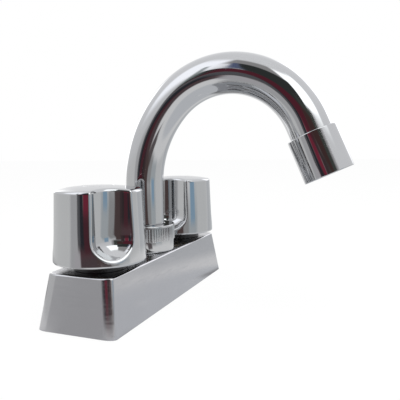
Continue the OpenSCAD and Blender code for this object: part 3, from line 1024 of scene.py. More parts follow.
@dataclass
class BaseBlock:
    """The wedge-sided cover with its gasket, plate, body and bonnet rings."""

    length: float = 152.0
    width: float = 45.0
    top_length: float = 142.0
    top_width: float = 37.0
    height: float = 28.5
    rim_z: float = 0.4
    corner_x: float = 3.0
    corner_y: float = 6.2
    edge: float = 1.0
    wall: float = 1.3
    tower_hole_r: float = 11.7
    boss_hole_r: float = 15.2
    hole_sides: int = 64
    ring_r: float = 14.0
    ring_bore_r: float = 11.55
    ring_height: float = 4.4
    ring_edge: float = 0.6
    ring_sides: int = 96
    corner_steps: int = 10

    def outline(self, height: float, inset: float) -> tuple[np.ndarray, np.ndarray]:
        """Rounded outline of the cover at one height.

        Args:
            height: The height.
            inset: How far inside the outer skin it lies.

        Returns:
            Its points and the outward normals of the sloping sides there.
        """
        share = height / self.height
        half_x = (self.length + (self.top_length - self.length) * share) / 2.0 - inset
        half_y = (self.width + (self.top_width - self.width) * share) / 2.0 - inset
        slope_x = (self.length - self.top_length) / 2.0 / self.height
        slope_y = (self.width - self.top_width) / 2.0 / self.height
        across, along = self.corner_x - inset, self.corner_y - inset
        points, normals = [], []
        for sign_x, sign_y, start in ((1, 1, 0.0), (-1, 1, 90.0), (-1, -1, 180.0), (1, -1, 270.0)):
            for step in range(self.corner_steps + 1):
                a = math.radians(start + 90.0 * step / self.corner_steps)
                c, s = math.cos(a), math.sin(a)
                reach = math.hypot(across * c, along * s)
                points.append((sign_x * (half_x - across) + across**2 * c / reach,
                               sign_y * (half_y - along) + along**2 * s / reach, height))
                normal = np.array([c, s, slope_x * c * c + slope_y * s * s])
                normals.append(normal / np.linalg.norm(normal))
        return np.array(points), np.array(normals)

    def add_lid(self, shell: Shell, ring: int, height: float, normal: float) -> list[int]:
        """Fills a level outline, leaving the three holes.

        Args:
            shell: The shell that gets it.
            ring: Number of the outline's first point.
            height: Its height.
            normal: 1 for a face that looks up, -1 for down.

        Returns:
            The number of each hole's first point.
        """
        size = 4 * (self.corner_steps + 1)
        points = np.vstack(shell.points)
        work = bmesh.new()
        outline = [work.verts.new(points[ring + i]) for i in range(size)]
        names = {vertex: ring + i for i, vertex in enumerate(outline)}
        loops = [outline]
        firsts = []
        for x, radius in ((Side.LEFT.axis_x, self.tower_hole_r), (0.0, self.boss_hole_r),
                          (Side.RIGHT.axis_x, self.tower_hole_r)):
            hole = circle(radius, height, even_angles(self.hole_sides)) + np.array([x, 0.0, 0.0])
            first = shell.add_points(hole, np.tile([0.0, 0.0, normal], (self.hole_sides, 1)))
            firsts.append(first)
            rim = [work.verts.new(p) for p in hole]
            names.update({vertex: first + i for i, vertex in enumerate(rim)})
            loops.append(rim)
        edges = [work.edges.new((loop[i], loop[(i + 1) % len(loop)]))
                 for loop in loops for i in range(len(loop))]
        bmesh.ops.triangle_fill(work, edges=edges, use_beauty=True, normal=(0.0, 0.0, normal))
        for face in work.faces:
            shell.add_face([names[vertex] for vertex in face.verts], True)
        work.free()
        return firsts

    def cover(self) -> bpy.types.Object:
        """Builds the cover as a thin shell, open below, with three holes on top."""
        shell = Shell()
        rings, normals = [], []
        up = np.array([0.0, 0.0, 1.0])
        for height in (self.rim_z, self.height * 0.5, self.height - self.edge):
            points, sides = self.outline(height, 0.0)
            rings.append(points)
            normals.append(sides)
        for angle in np.radians([18.0, 36.0, 54.0, 72.0, 90.0]):
            height = self.height - self.edge * (1.0 - math.sin(angle))
            points, sides = self.outline(height, self.edge * (1.0 - math.cos(angle)))
            rounded = sides * math.cos(angle) + up * math.sin(angle)
            rings.append(points)
            normals.append(rounded / np.linalg.norm(rounded, axis=1)[:, None])
        outer = shell.add_rings(rings, normals=normals)
        ceiling = self.height - self.wall
        inner_rings, inner_normals = [], []
        for height in (self.rim_z, ceiling):
            points, sides = self.outline(height, self.wall)
            inner_rings.append(points)
            inner_normals.append(-sides)
        inner = shell.add_rings(inner_rings, normals=inner_normals)
        size = 4 * (self.corner_steps + 1)
        for i in range(size):
            j = (i + 1) % size
            shell.add_face((outer[0] + i, outer[0] + j, inner[0] + j, inner[0] + i))
        lid = shell.add_points(rings[-1], np.tile(up, (size, 1)))
        under = shell.add_points(inner_rings[-1], np.tile(-up, (size, 1)))
        tops = self.add_lid(shell, lid, self.height, 1.0)
        bottoms = self.add_lid(shell, under, ceiling, -1.0)
        for top, bottom in zip(tops, bottoms):
            for i in range(self.hole_sides):
                j = (i + 1) % self.hole_sides
                shell.add_face((top + i, top + j, bottom + j, bottom + i))
        return shell.make("base_cover_shell")

    def bonnet_ring(self, side: Side) -> bpy.types.Object:
        """Builds the black ring that clamps the cover under one knob.

        Args:
            side: The knob's side.

        Returns:
            The ring.
        """
        low, high, edge = self.height, self.height + self.ring_height, self.ring_edge
        profile = [(self.ring_bore_r, low), (self.ring_r - 0.2, low), (self.ring_r, low + 0.2)]
        profile += corner((self.ring_r - edge, high - edge), edge, 0.0, 90.0, 5)
        profile += [(self.ring_bore_r + 0.3, high), (self.ring_bore_r, high - 0.3)]
        return soften(turned(f"{side.label}_bonnet_ring_turned", profile, self.ring_sides, side.place))

    def build(self) -> None:
        """Builds and dresses the base."""
        place_piece(self.cover(), "base", SOFT_CHROME, "base_cover")
        for side in Side:
            place_piece(self.bonnet_ring(side), "base", BLACK_PLASTIC, f"{side.label}_bonnet_ring")
        dress(WHITE_PLASTIC, ["base_plate"])
        dress(FOAM, ["base_gasket"])
        dress(BRASS, [
            "mixing_boss", *both("valve_tower"), *both("cross_tube"), *both("cartridge_body"),
            *both("stem"), *both("handle_insert")])
        dress(RUBBER, [*both("seat_seal"), *both("stem_o_ring")])
        dress(CERAMIC, [*both("fixed_disc"), *both("moving_disc")])
        dress(STEEL, [*both("stem_clip"), *both("handle_screw")])


def thread_form() -> NodeForm:
    """Builds the tree of a screw thread: a ridge that climbs a helix."""
    form = NodeForm("screw_thread")
    crest, pitch, turns, start = form.sizes("Crest Radius", "Pitch", "Turns", "Start Height")
    depth = form.maths("MULTIPLY", pitch, 0.5)
    middle = form.maths("SUBTRACT", crest, depth)
    helix = form.add("GeometryNodeCurveSpiral", Resolution=36, Rotations=turns, Start_Radius=middle,
                     End_Radius=middle, Height=form.maths("MULTIPLY", pitch, turns))
    upright = form.add("GeometryNodeSetCurveNormal", {"mode": "Z_UP"}, Curve=helix)
    ridge = form.add("GeometryNodeCurvePrimitiveCircle", Resolution=4, Radius=depth)
    swept = form.add("GeometryNodeCurveToMesh", Curve=upright, Profile_Curve=ridge, Fill_Caps=True)
    form.close(form.raised(swept, start, 0.0))
    return form


def wings_form() -> NodeForm:
    """Builds the tree of a nut's wings: one plate, repeated round a circle."""
    form = NodeForm("nut_wings")
    count = form.size("Count", "Int")
    reach, inner, thickness, height, low = form.sizes(
        "Reach", "Inner Radius", "Thickness", "Height", "Low")
    length = form.maths("SUBTRACT", reach, inner)
    size = form.add("ShaderNodeCombineXYZ", X=length, Y=thickness, Z=height)
    middle = form.maths("MULTIPLY", form.maths("ADD", reach, inner), 0.5)
    plate = form.raised(form.add("GeometryNodeMeshCube", Size=size), low, height, middle)
    number = form.add("GeometryNodeInputIndex")
    turn = form.maths("DIVIDE", form.maths("MULTIPLY", number, FULL_TURN), count)
    form.close(form.add(
        "GeometryNodeInstanceOnPoints", Points=form.add("GeometryNodePoints", Count=count),
        Instance=plate, Rotation=form.add("ShaderNodeCombineXYZ", Z=turn)))
    return form


@dataclass
class UnderDeck:
    """One inlet shank with the washer and winged nut that clamp the deck."""

    side: Side
    thread: NodeForm
    wings: NodeForm
    crest_r: float = 10.45
    end_r: float = 10.3
    bore_r: float = 7.0
    pitch: float = 1.814
    top_z: float = 10.0
    groove_z: float = -36.0
    groove_r: float = 9.3
    end_top_z: float = -37.5
    end_z: float = -53.5
    washer_r: float = 16.0
    washer_top_z: float = -25.0
    washer_thickness: float = 2.5
    washer_gap: float = 0.15
    washer_edge: float = 0.5
    nut_r: float = 14.5
    nut_gap: float = 0.05
    nut_height: float = 8.0
    nut_span: float = 42.0
    wing_count: int = 4
    wing_thickness: float = 4.0
    sides: int = 72

    def moved(self, thing: bpy.types.Object) -> bpy.types.Object:
        """Moves a finished mesh from the swivel axis to this inlet."""
        thing.data.transform(Matrix.Translation((self.side.axis_x * MM, 0.0, 0.0)))
        return thing

    def screwed(self, name: str, crest: float, low: float, high: float) -> bpy.types.Object:
        """Grows one length of thread.

        Args:
            name: The length's name.
            crest: Radius over the thread.
            low: Where it starts.
            high: Where it ends.

        Returns:
            The thread, in place.
        """
        depth = self.pitch / 2.0
        turns = (high - low - 2.0 * depth) / self.pitch
        length = self.moved(self.thread.grow(
            name, None, BRASS, Crest_Radius=crest * MM, Pitch=self.pitch * MM, Turns=turns,
            Start_Height=(low + depth) * MM))
        length.data.shade_flat()
        return length

    def shank(self) -> bpy.types.Object:
        """Builds the hollow threaded shank."""
        root = self.crest_r - self.pitch * 0.5
        end_root = self.end_r - self.pitch * 0.5
        profile = [
            (self.bore_r, self.top_z), (root, self.top_z), (root, self.groove_z),
            (self.groove_r, self.groove_z), (self.groove_r, self.end_top_z), (end_root, self.end_top_z),
            (end_root, self.end_z + 0.8), (end_root - 0.8, self.end_z),
            (self.bore_r + 0.5, self.end_z), (self.bore_r, self.end_z + 0.5),
        ]
        label = self.side.label
        parts = [
            turned(f"{label}_shank_core", profile, self.sides, self.side.place),
            self.screwed(f"{label}_shank_thread", self.crest_r, self.groove_z, self.top_z),
            self.screwed(f"{label}_end_thread", self.end_r, self.end_z, self.end_top_z),
        ]
        return joined(f"{label}_shank_threaded", parts)

    def washer(self) -> bpy.types.Object:
        """Builds the rubber washer, with rounded edges."""
        high, low = self.washer_top_z, self.washer_top_z - self.washer_thickness
        bore, edge = self.crest_r + self.washer_gap, self.washer_edge
        profile = [(bore, low), *corner((self.washer_r - edge, low + edge), edge, -90.0, 0.0, 4),
                   *corner((self.washer_r - edge, high - edge), edge, 0.0, 90.0, 4), (bore, high)]
        name = f"{self.side.label}_mounting_washer_rounded"
        return soften(turned(name, profile, self.sides, self.side.place))

    def nut(self) -> bpy.types.Object:
        """Builds the winged nut."""
        high = self.washer_top_z - self.washer_thickness
        low = high - self.nut_height
        bore = self.crest_r + self.nut_gap
        profile = [(bore, low), (self.nut_r, low), (self.nut_r, high), (bore, high)]
        label = self.side.label
        ring = turned(f"{label}_nut_ring", profile, self.sides, self.side.place)
        wings = self.moved(self.wings.grow(
            f"{label}_nut_wings", None, WHITE_PLASTIC, Count=self.wing_count,
            Reach=self.nut_span / 2 * MM, Inner_Radius=(self.nut_r - 1.0) * MM,
            Thickness=self.wing_thickness * MM, Height=(self.nut_height - 1.0) * MM, Low=low * MM))
        return soften(joined(f"{label}_mounting_nut_winged", [ring, wings]), width=0.6, segments=3)

    def build(self) -> None:
        """Builds and dresses the inlet."""
        label = self.side.label
        place_piece(self.shank(), "base", BRASS, f"{label}_shank")
        place_piece(self.washer(), "base", RUBBER, f"{label}_mounting_washer")
        place_piece(self.nut(), "base", WHITE_PLASTIC, f"{label}_mounting_nut")


def knurl_form() -> NodeForm:
    """Builds the tree of a knurl: upright round ribs, repeated round a circle."""
    form = NodeForm("upright_knurl")
    count = form.size("Count", "Int")
    radius, rib, height, low = form.sizes("Radius", "Rib Radius", "Height", "Low")
    row = form.add("GeometryNodeMeshCircle", Vertices=count, Radius=radius)
    bar = form.add("GeometryNodeMeshCylinder", Vertices=10, Radius=rib, Depth=height)
    form.close(form.add("GeometryNodeInstanceOnPoints", Points=form.raised(row, low, height),
                        Instance=bar))
    return form


@dataclass
class SwivelCollar:
    """The knurled nut at the foot of the spout, and the swivel inside it."""

    radius: float = 17.8
    low: float = 28.5
    height: float = 16.0
    lip: float = 2.3
    skirt_height: float = 6.8
    skirt_inset: float = 0.3
    bead_height: float = 1.4
    knurl_count: int = 72
    knurl_depth: float = 0.5
    rib_r: float = 0.46
    bore_r: float = 15.05
    hole_r: float = 11.85
    sides: int = 120

    def nut(self) -> bpy.types.Object:
        """Builds the nut: a turned body with ribs round it."""
        top = self.low + self.height
        knurl_low = self.low + self.skirt_height
        knurl_high = top - self.bead_height
        skirt, core = self.radius - self.skirt_inset, self.radius - self.knurl_depth
        profile = [
            (self.bore_r, self.low), *corner((skirt - 1.0, self.low + 1.0), 1.0, -90.0, 0.0, 6),
            (skirt, knurl_low - 0.35), (skirt - 0.15, knurl_low), (core, knurl_low), (core, knurl_high),
            (self.radius - 0.2, knurl_high), (self.radius, knurl_high + 0.2),
            *corner((self.radius - 0.6, top - 0.6), 0.6, 0.0, 90.0, 6),
            (self.hole_r + 0.3, top), (self.hole_r, top - 0.3), (self.hole_r, top - self.lip),
            (self.bore_r, top - self.lip),
        ]
        body = turned("collar_nut_body", profile, self.sides)
        ribs = knurl_form().grow(
            "collar_nut_ribs", None, CHROME, Count=self.knurl_count,
            Radius=(self.radius - self.rib_r) * MM, Rib_Radius=self.rib_r * MM,
            Height=(knurl_high - knurl_low) * MM, Low=knurl_low * MM)
        ribs.data.shade_smooth()
        return soften(joined("collar_nut_knurled", [body, ribs]))

    def build(self) -> None:
        """Builds and dresses the collar."""
        place_piece(self.nut(), "base", CHROME, "collar_nut")
        dress(GLIDE_PLASTIC, ["upper_glide_ring", "lower_glide_ring"])
        dress(BRASS, ["spout_plug"])
        dress(RUBBER, ["spout_o_rings"])


def sweep_form() -> NodeForm:
    """Builds the tree of a tube: a circle swept along the edges that it is given."""
    form = NodeForm("swept_tube")
    radius = form.size("Radius")
    sides = form.size("Sides", "Int")
    line = form.add("GeometryNodeMeshToCurve", Mesh=form.entry)
    ring = form.add("GeometryNodeCurvePrimitiveCircle", Resolution=sides, Radius=radius)
    form.close(form.add("GeometryNodeCurveToMesh", Curve=line, Profile_Curve=ring))
    return form


def honeycomb_form() -> NodeForm:
    """Builds the tree of an outlet screen: six-sided cells over a grid, kept inside a circle."""
    form = NodeForm("honeycomb_screen")
    reach, cell, depth, low = form.sizes("Reach", "Cell Radius", "Depth", "Low")
    rows = form.size("Rows", "Int")
    step_x = form.maths("MULTIPLY", cell, 1.5)
    step_y = form.maths("MULTIPLY", cell, math.sqrt(3.0))
    across = form.maths("SUBTRACT", rows, 1)
    grid = form.add("GeometryNodeMeshGrid", Size_X=form.maths("MULTIPLY", step_x, across),
                    Size_Y=form.maths("MULTIPLY", step_y, across), Vertices_X=rows, Vertices_Y=rows)
    apart = form.add("ShaderNodeSeparateXYZ", Vector=form.add("GeometryNodeInputPosition"))
    column = form.maths("ROUND", form.maths("DIVIDE", apart.outputs["X"], step_x), 0.0)
    odd = form.maths("ABSOLUTE", form.maths("MODULO", column, 2.0), 0.0)
    shift = form.add("ShaderNodeCombineXYZ",
                     Y=form.maths("MULTIPLY", odd, form.maths("MULTIPLY", step_y, 0.5)),
                     Z=form.maths("ADD", low, form.maths("MULTIPLY", depth, 0.5)))
    moved = form.add("GeometryNodeSetPosition", Geometry=grid, Offset=shift)
    place = form.add("ShaderNodeSeparateXYZ", Vector=form.add("GeometryNodeInputPosition"))
    square_x = form.maths("POWER", place.outputs["X"], 2.0)
    square_y = form.maths("POWER", place.outputs["Y"], 2.0)
    far = form.maths("POWER", form.maths("ADD", square_x, square_y), 0.5)
    kept = form.add("GeometryNodeDeleteGeometry", {"domain": "POINT"}, Geometry=moved,
                    Selection=form.maths("GREATER_THAN", far, reach))
    outline = form.add("GeometryNodeCurvePrimitiveCircle", Resolution=6,
                       Radius=form.maths("MULTIPLY", cell, 0.93))
    section = form.add("GeometryNodeCurvePrimitiveQuadrilateral",
                       Width=form.maths("MULTIPLY", cell, 0.2), Height=depth)
    ring = form.add("GeometryNodeCurveToMesh", Curve=outline, Profile_Curve=section)
    form.close(form.add("GeometryNodeInstanceOnPoints", Points=kept, Instance=ring))
    return form


@dataclass
class GooseneckSpout:
    """The bent spout tube and the aerator at its end."""

    tube_r: float = 11.5
    tube_wall: float = 1.0
    foot_z: float = 41.35
    riser_z: float = 69.0
    bend_a_r: float = 69.5
    bend_a: float = 43.3
    bend_b_r: float = 48.0
    bend_b: float = 113.0
    tail: float = 6.5
    tube_entry: float = 8.5
    housing_r: float = 13.6
    housing_length: float = 24.0
    housing_wall: float = 2.3
    lip: float = 1.6
    edge: float = 0.55
    screen_low: float = 26.9
    screen_depth: float = 1.6
    screen_rim: float = 1.9
    cell_r: float = 0.85
    cell_rows: int = 17
    tube_sides: int = 80
    housing_sides: int = 112
    screen_sides: int = 72

    @property
    def bend_b_centre(self) -> tuple[float, float]:
        """Y and Z of the second bend's centre."""
        swing = math.radians(self.bend_a)
        reach = self.bend_a_r - self.bend_b_r
        return -self.bend_a_r + reach * math.cos(swing), self.riser_z + reach * math.sin(swing)

    @property
    def outlet(self) -> Matrix:
        """Place of the last bend's end, with +Z along the flow."""
        total = math.radians(self.bend_a + self.bend_b)
        y, z = self.bend_b_centre
        end = Vector((0.0, y + self.bend_b_r * math.cos(total), z + self.bend_b_r * math.sin(total)))
        return Matrix.Translation(end) @ Matrix.Rotation(total, 4, "X")

    def path(self) -> list[tuple[float, float, float]]:
        """Returns points along the tube's centreline, from its foot to its end."""
        points = [(0.0, 0.0, z) for z in np.linspace(self.foot_z, self.riser_z, 8)]
        for a in np.radians(np.linspace(0.0, self.bend_a, 30))[1:]:
            points.append((0.0, self.bend_a_r * (math.cos(a) - 1.0),
                           self.riser_z + self.bend_a_r * math.sin(a)))
        y, z = self.bend_b_centre
        for a in np.radians(np.linspace(self.bend_a, self.bend_a + self.bend_b, 72))[1:]:
            points.append((0.0, y + self.bend_b_r * math.cos(a), z + self.bend_b_r * math.sin(a)))
        for along in np.linspace(0.0, self.tail + self.tube_entry, 8)[1:]:
            points.append(tuple(self.outlet @ Vector((0.0, 0.0, along))))
        return points

    def tube(self) -> bpy.types.Object:
        """Builds the bent tube, with its wall."""
        points = self.path()
        mesh = bpy.data.meshes.new("spout_path")
        edges = [(i, i + 1) for i in range(len(points) - 1)]
        mesh.from_pydata([[c * MM for c in p] for p in points], edges, [])
        tube = sweep_form().grow("spout_tube_swept", shown("spout_path", mesh), CHROME,
                                 Radius=self.tube_r * MM, Sides=self.tube_sides)
        work = bmesh.new()
        work.from_mesh(tube.data)
        work.faces.ensure_lookup_table()
        face = work.faces[0]
        middle = face.calc_center_median()
        nearest = min((Vector(p) * MM for p in points), key=lambda point: (point - middle).length)
        if face.normal.dot(middle - nearest) < 0.0:
            bmesh.ops.reverse_faces(work, faces=work.faces)
        work.to_mesh(tube.data)
        work.free()
        tube.data.shade_smooth()
        wall = tube.modifiers.new("tube_wall", "SOLIDIFY")
        wall.thickness = self.tube_wall * MM
        wall.offset = -1.0
        return tube

    def housing(self) -> bpy.types.Object:
        """Builds the aerator's housing."""
        start, end = self.tail, self.tail + self.housing_length
        inner = self.housing_r - self.housing_wall
        mouth = inner - self.lip
        bore = self.tube_r + 0.05
        profile = [
            (bore, start + 0.2), (bore + 0.2, start),
            *corner((self.housing_r - self.edge, start + self.edge), self.edge, -90.0, 0.0, 5),
            *corner((self.housing_r - self.edge, end - self.edge), self.edge, 0.0, 90.0, 5),
            (mouth + 0.3, end), (mouth, end - 0.3), (mouth, end - self.lip), (inner, end - self.lip),
            (inner, start + self.tube_entry), (bore, start + self.tube_entry),
        ]
        return soften(turned("aerator_housing_turned", profile, self.housing_sides, self.outlet))

    def screen(self) -> bpy.types.Object:
        """Builds the honeycomb screen in its rim."""
        reach = self.housing_r - self.housing_wall - 0.05
        low, high = self.screen_low, self.screen_low + self.screen_depth
        bore = reach - self.screen_rim
        profile = [(bore, low), (reach, low), (reach, high + 0.4), (bore, high + 0.4)]
        rim = turned("screen_rim", profile, self.screen_sides, self.outlet)
        cells = honeycomb_form().grow(
            "screen_cells", None, WHITE_PLASTIC, Reach=(reach - 1.7) * MM,
            Cell_Radius=self.cell_r * MM, Depth=self.screen_depth * MM, Low=low * MM,
            Rows=self.cell_rows)
        cells.data.transform(Matrix.Scale(MM, 4) @ self.outlet @ Matrix.Scale(1.0 / MM, 4))
        return soften(joined("aerator_screen_honeycomb", [rim, cells]))

    def build(self) -> None:
        """Builds and dresses the spout."""
        place_piece(self.tube(), "spout", CHROME, "spout_tube")
        place_piece(self.housing(), "spout", CHROME, "aerator_housing")
        place_piece(self.screen(), "spout", WHITE_PLASTIC, "aerator_screen")
        dress(RUBBER, ["aerator_washer"])
        dress(WHITE_PLASTIC, ["aerator_insert"])


# Studio


def seen_directly(tree: bpy.types.NodeTree, share: float) -> bpy.types.NodeSocket:
    """Tells the rays that show the background: from the camera, off gloss or through glass.

    Args:
        tree: The node tree to build in.
        share: The value for such a ray.

    Returns:
        That share, or 0 for any other ray.
    """
    path = tree.nodes.new("ShaderNodeLightPath")
    total = path.outputs["Is Camera Ray"]
    for name in ("Is Glossy Ray", "Is Transmission Ray"):
        more = tree.nodes.new("ShaderNodeMath")
        more.operation = "MAXIMUM"
        tree.links.new(total, more.inputs[0])
        tree.links.new(path.outputs[name], more.inputs[1])
        total = more.outputs["Value"]
    scaled = tree.nodes.new("ShaderNodeMath")
    scaled.operation = "MULTIPLY"
    scaled.inputs[1].default_value = share
    tree.links.new(total, scaled.inputs[0])
    return scaled.outputs["Value"]


def end_in_mix(tree: bpy.types.NodeTree, output: bpy.types.Node, factor: bpy.types.NodeSocket,
               first: bpy.types.Node, second: bpy.types.Node) -> None:
    """Ends a tree in a mix of two shaders.

    Args:
        tree: The node tree.
        output: Its output node.
        factor: Share of the second shader.
        first: The first shader.
        second: The second shader.
    """
    mix = tree.nodes.new("ShaderNodeMixShader")
    tree.links.new(factor, mix.inputs["Fac"])
    tree.links.new(first.outputs[0], mix.inputs[1])
    tree.links.new(second.outputs[0], mix.inputs[2])
    tree.links.new(mix.outputs["Shader"], output.inputs["Surface"])


@dataclass(frozen=True)
class SoftPatch:
    """A soft-edged patch of the tent that the chrome mirrors.

    Its angles are degrees as seen from the tent's middle, to the right of the camera's direction and up
    from level. It leans to the right by `lean` degrees for each degree of height above its own middle.
    """

    name: str
    colour: Colour
    left: float
    right: float
    low: float
    high: float
    soft: float = 3.0
    lean: float = 0.0
    cover: float = 1.0

    def share(self, turn: np.ndarray, tilt: np.ndarray) -> np.ndarray:
        """How much of the patch each direction shows.

        Args:
            turn: Angles to the right of the camera's direction.
            tilt: Angles up from level.

        Returns:
            A share from 0 to 1 for each.
        """
        raised = tilt - (self.low + self.high) / 2.0
        aside = turn - (self.left + self.right) / 2.0 - self.lean * raised
        aside = np.abs((aside + 180.0) % 360.0 - 180.0) - (self.right - self.left) / 2.0
        above = np.abs(raised) - (self.high - self.low) / 2.0
        shares = [np.clip(0.5 - outside / self.soft, 0.0, 1.0) for outside in (aside, above)]
        return self.cover * np.prod([s * s * (3.0 - 2.0 * s) for s in shares], axis=0)


@dataclass
class Studio:
    """The floor, lamps, reflection tent and camera."""

    azimuth: float = -68.70
    elevation: float = 5.54
    roll: float = -0.61
    distance: float = 293.77
    aim_right: float = 33.83
    aim_up: float = -1.46
    aim_height: float = 60.0
    lens: float = 42.925
    sensor: float = 36.0
    floor_half: float = 6.0
    floor_z: float = -0.00002
    floor_tone: float = 0.92
    floor_white: float = 0.95
    world_light: float = 0.75
    lamp_target: tuple[float, float, float] = (0.0, -0.03, 0.06)
    tent_r: float = 700.0
    tent_middle: tuple[float, float, float] = (0.0, -50.0, 100.0)
    tent_foot_z: float = 0.5
    tent_low: float = -88.0
    tent_light: float = 0.88
    tent_top_gain: float = 0.20
    tent_tone: Colour = (1.0, 1.005, 1.02)
    patches: tuple[SoftPatch, ...] = (
        SoftPatch("left_window", (1.75, 1.78, 1.86), -88.0, -42.0, 20.0, 62.0, 16.0),
        SoftPatch("rear_left_window", (2.30, 2.30, 2.30), -152.0, -128.0, -4.0, 30.0, 10.0),
        SoftPatch("right_window", (2.30, 2.36, 2.36), 9.0, 62.0, 27.0, 62.0, 9.0),
        SoftPatch("rear_right_window", (2.00, 2.00, 2.06), 128.0, 160.0, 6.0, 34.0, 9.0),
        SoftPatch("upper_shade", (0.42, 0.41, 0.41), -44.0, 6.0, 42.0, 66.0, 9.0),
        SoftPatch("grey_side", (0.46, 0.45, 0.46), 4.0, 33.0, -2.0, 25.0, 10.0),
        SoftPatch("dark_flag", (0.045, 0.050, 0.048), -35.0, 12.5, 14.0, 47.0, 3.0),
        SoftPatch("dark_flag_arm", (0.070, 0.078, 0.070), -6.0, 25.0, 0.0, 27.0, 7.0),
        SoftPatch("dark_flag_edge", (0.050, 0.050, 0.052), -45.0, -36.0, 2.0, 20.0, 2.5),
        SoftPatch("slate_stripe", (0.17, 0.22, 0.21), -50.0, -46.0, 8.0, 38.0, 2.5, -0.25, 0.8),
        SoftPatch("violet_stripe", (0.13, 0.16, 0.28), -39.0, -34.0, 21.0, 47.0, 3.0),
        SoftPatch("maroon_flag", (0.125, 0.026, 0.040), -41.0, -9.0, 1.0, 18.0, 3.0),
        SoftPatch("brown_flag", (0.080, 0.042, 0.040), -11.0, 12.0, 6.0, 19.0, 5.0),
        SoftPatch("near_floor", (0.80, 0.82, 0.85), -180.0, 180.0, -95.0, -46.0, 8.0),
        SoftPatch("left_skirt", (0.83, 0.835, 0.83), -140.0, -62.0, -30.0, 2.0, 9.0),
        SoftPatch("left_skirt_end", (0.59, 0.59, 0.60), -62.0, -44.0, -56.0, 3.0, 8.0),
        SoftPatch("right_skirt", (0.80, 0.81, 0.81), 62.0, 124.0, -28.0, 2.0, 10.0),
        SoftPatch("rear_right_skirt", (0.70, 0.72, 0.74), 126.0, 176.0, -30.0, 1.0, 10.0),
        SoftPatch("mauve_foot", (0.270, 0.225, 0.230), -44.0, 12.0, -24.0, 1.0, 7.0),
        SoftPatch("cool_side", (0.56, 0.60, 0.62), 30.0, 72.0, -28.0, -5.0, 12.0),
        SoftPatch("grey_step", (0.42, 0.42, 0.42), 10.0, 38.0, -28.0, -5.0, 8.0),
        SoftPatch("maroon_foot", (0.150, 0.066, 0.078), -42.0, -4.0, -20.0, -11.0, 4.0),
        SoftPatch("brown_low_foot", (0.11, 0.080, 0.086), -40.0, -4.0, -24.0, -15.0, 4.0),
        SoftPatch("brown_low_side", (0.15, 0.13, 0.135), 1.0, 20.0, -34.0, -18.0, 5.0),
        SoftPatch("brown_foot", (0.110, 0.076, 0.074), -8.0, 16.0, -20.0, -1.0, 5.0),
        SoftPatch("dark_band", (0.070, 0.048, 0.051), -16.0, -3.0, -14.0, 7.0, 4.0),
        SoftPatch("black_side", (0.050, 0.038, 0.040), -44.0, -11.0, -13.5, -5.0, 3.0),
        SoftPatch("slate_band", (0.13, 0.13, 0.14), -44.0, -37.5, -12.0, 2.0, 3.0),
        SoftPatch("black_band", (0.034, 0.036, 0.044), -38.0, -31.0, -12.5, 3.0, 2.0),
        SoftPatch("maroon_band", (0.24, 0.034, 0.060), -30.0, -17.0, -6.0, 3.0, 2.0),
        SoftPatch("maroon_dim", (0.095, 0.032, 0.042), -30.0, -17.0, -14.0, -6.0, 2.0),
        SoftPatch("light_foot", (0.60, 0.58, 0.60), -52.0, -40.0, -30.0, -13.5, 3.0),
        SoftPatch("pale_blue_foot", (0.34, 0.50, 0.65), 45.0, 63.0, -11.0, 3.0, 5.0),
        SoftPatch("grey_foot", (0.42, 0.42, 0.43), -184.0, -92.0, -60.0, -24.0, 8.0),
    )

    def axes(self) -> tuple[Vector, Vector, Vector]:
        """Returns the camera's right, up and backward directions before its roll."""
        a, e = math.radians(self.azimuth), math.radians(self.elevation)
        back = Vector((math.sin(a) * math.cos(e), -math.cos(a) * math.cos(e), math.sin(e)))
        right = Vector((math.cos(a), math.sin(a), 0.0))
        return right, back.cross(right), back

    def camera(self) -> None:
        """Sets the camera at the photograph's viewing angle."""
        right, up, back = self.axes()
        aim = Vector((0.0, 0.0, self.aim_height)) + right * self.aim_right + up * self.aim_up
        place = (aim + back * self.distance) * MM
        r = math.radians(self.roll)
        across = right * math.cos(r) + up * math.sin(r)
        upward = up * math.cos(r) - right * math.sin(r)
        data = bpy.data.cameras.new("view_of_the_tap")
        data.sensor_width = self.sensor
        data.lens = self.lens
        data.clip_start, data.clip_end = 0.01, 20.0
        thing = shown("view_of_the_tap", data)
        thing.matrix_world = Matrix((
            (across.x, upward.x, back.x, place.x), (across.y, upward.y, back.y, place.y),
            (across.z, upward.z, back.z, place.z), (0.0, 0.0, 0.0, 1.0)))
        bpy.context.scene.camera = thing

    def floor(self) -> None:
        """Lays the plain pale floor at the height of the deck."""
        half, low = self.floor_half, self.floor_z
        mesh = bpy.data.meshes.new("pale_floor")
        corners = [(-half, -half, low), (half, -half, low), (half, half, low), (-half, half, low)]
        mesh.from_pydata(corners, [], [(0, 1, 2, 3)])
        material = bare_material("pale_floor")
        tree = material.node_tree
        matt = tree.nodes.new("ShaderNodeBsdfDiffuse")
        matt.inputs["Color"].default_value = (self.floor_tone, self.floor_tone, self.floor_tone, 1.0)
        glow = tree.nodes.new("ShaderNodeEmission")
        glow.inputs["Color"].default_value = (1.0, 1.0, 1.0, 1.0)
        glow.inputs["Strength"].default_value = 1.0
        output = tree.nodes.new("ShaderNodeOutputMaterial")
        end_in_mix(tree, output, seen_directly(tree, self.floor_white), matt, glow)
        mesh.materials.append(material)
        shown("pale_floor", mesh)

    def world(self) -> None:
        """Lights the tap from all round, in front of a white background."""
        world = bpy.data.worlds.new("soft_studio")
        bpy.context.scene.world = world
        world.use_nodes = True
        tree = world.node_tree
        tree.nodes.clear()
        sky = []
        for strength in (self.world_light, 1.0):
            sky.append(tree.nodes.new("ShaderNodeBackground"))
            sky[-1].inputs["Color"].default_value = (1.0, 1.0, 1.0, 1.0)
            sky[-1].inputs["Strength"].default_value = strength
        output = tree.nodes.new("ShaderNodeOutputWorld")
        end_in_mix(tree, output, seen_directly(tree, 1.0), *sky)

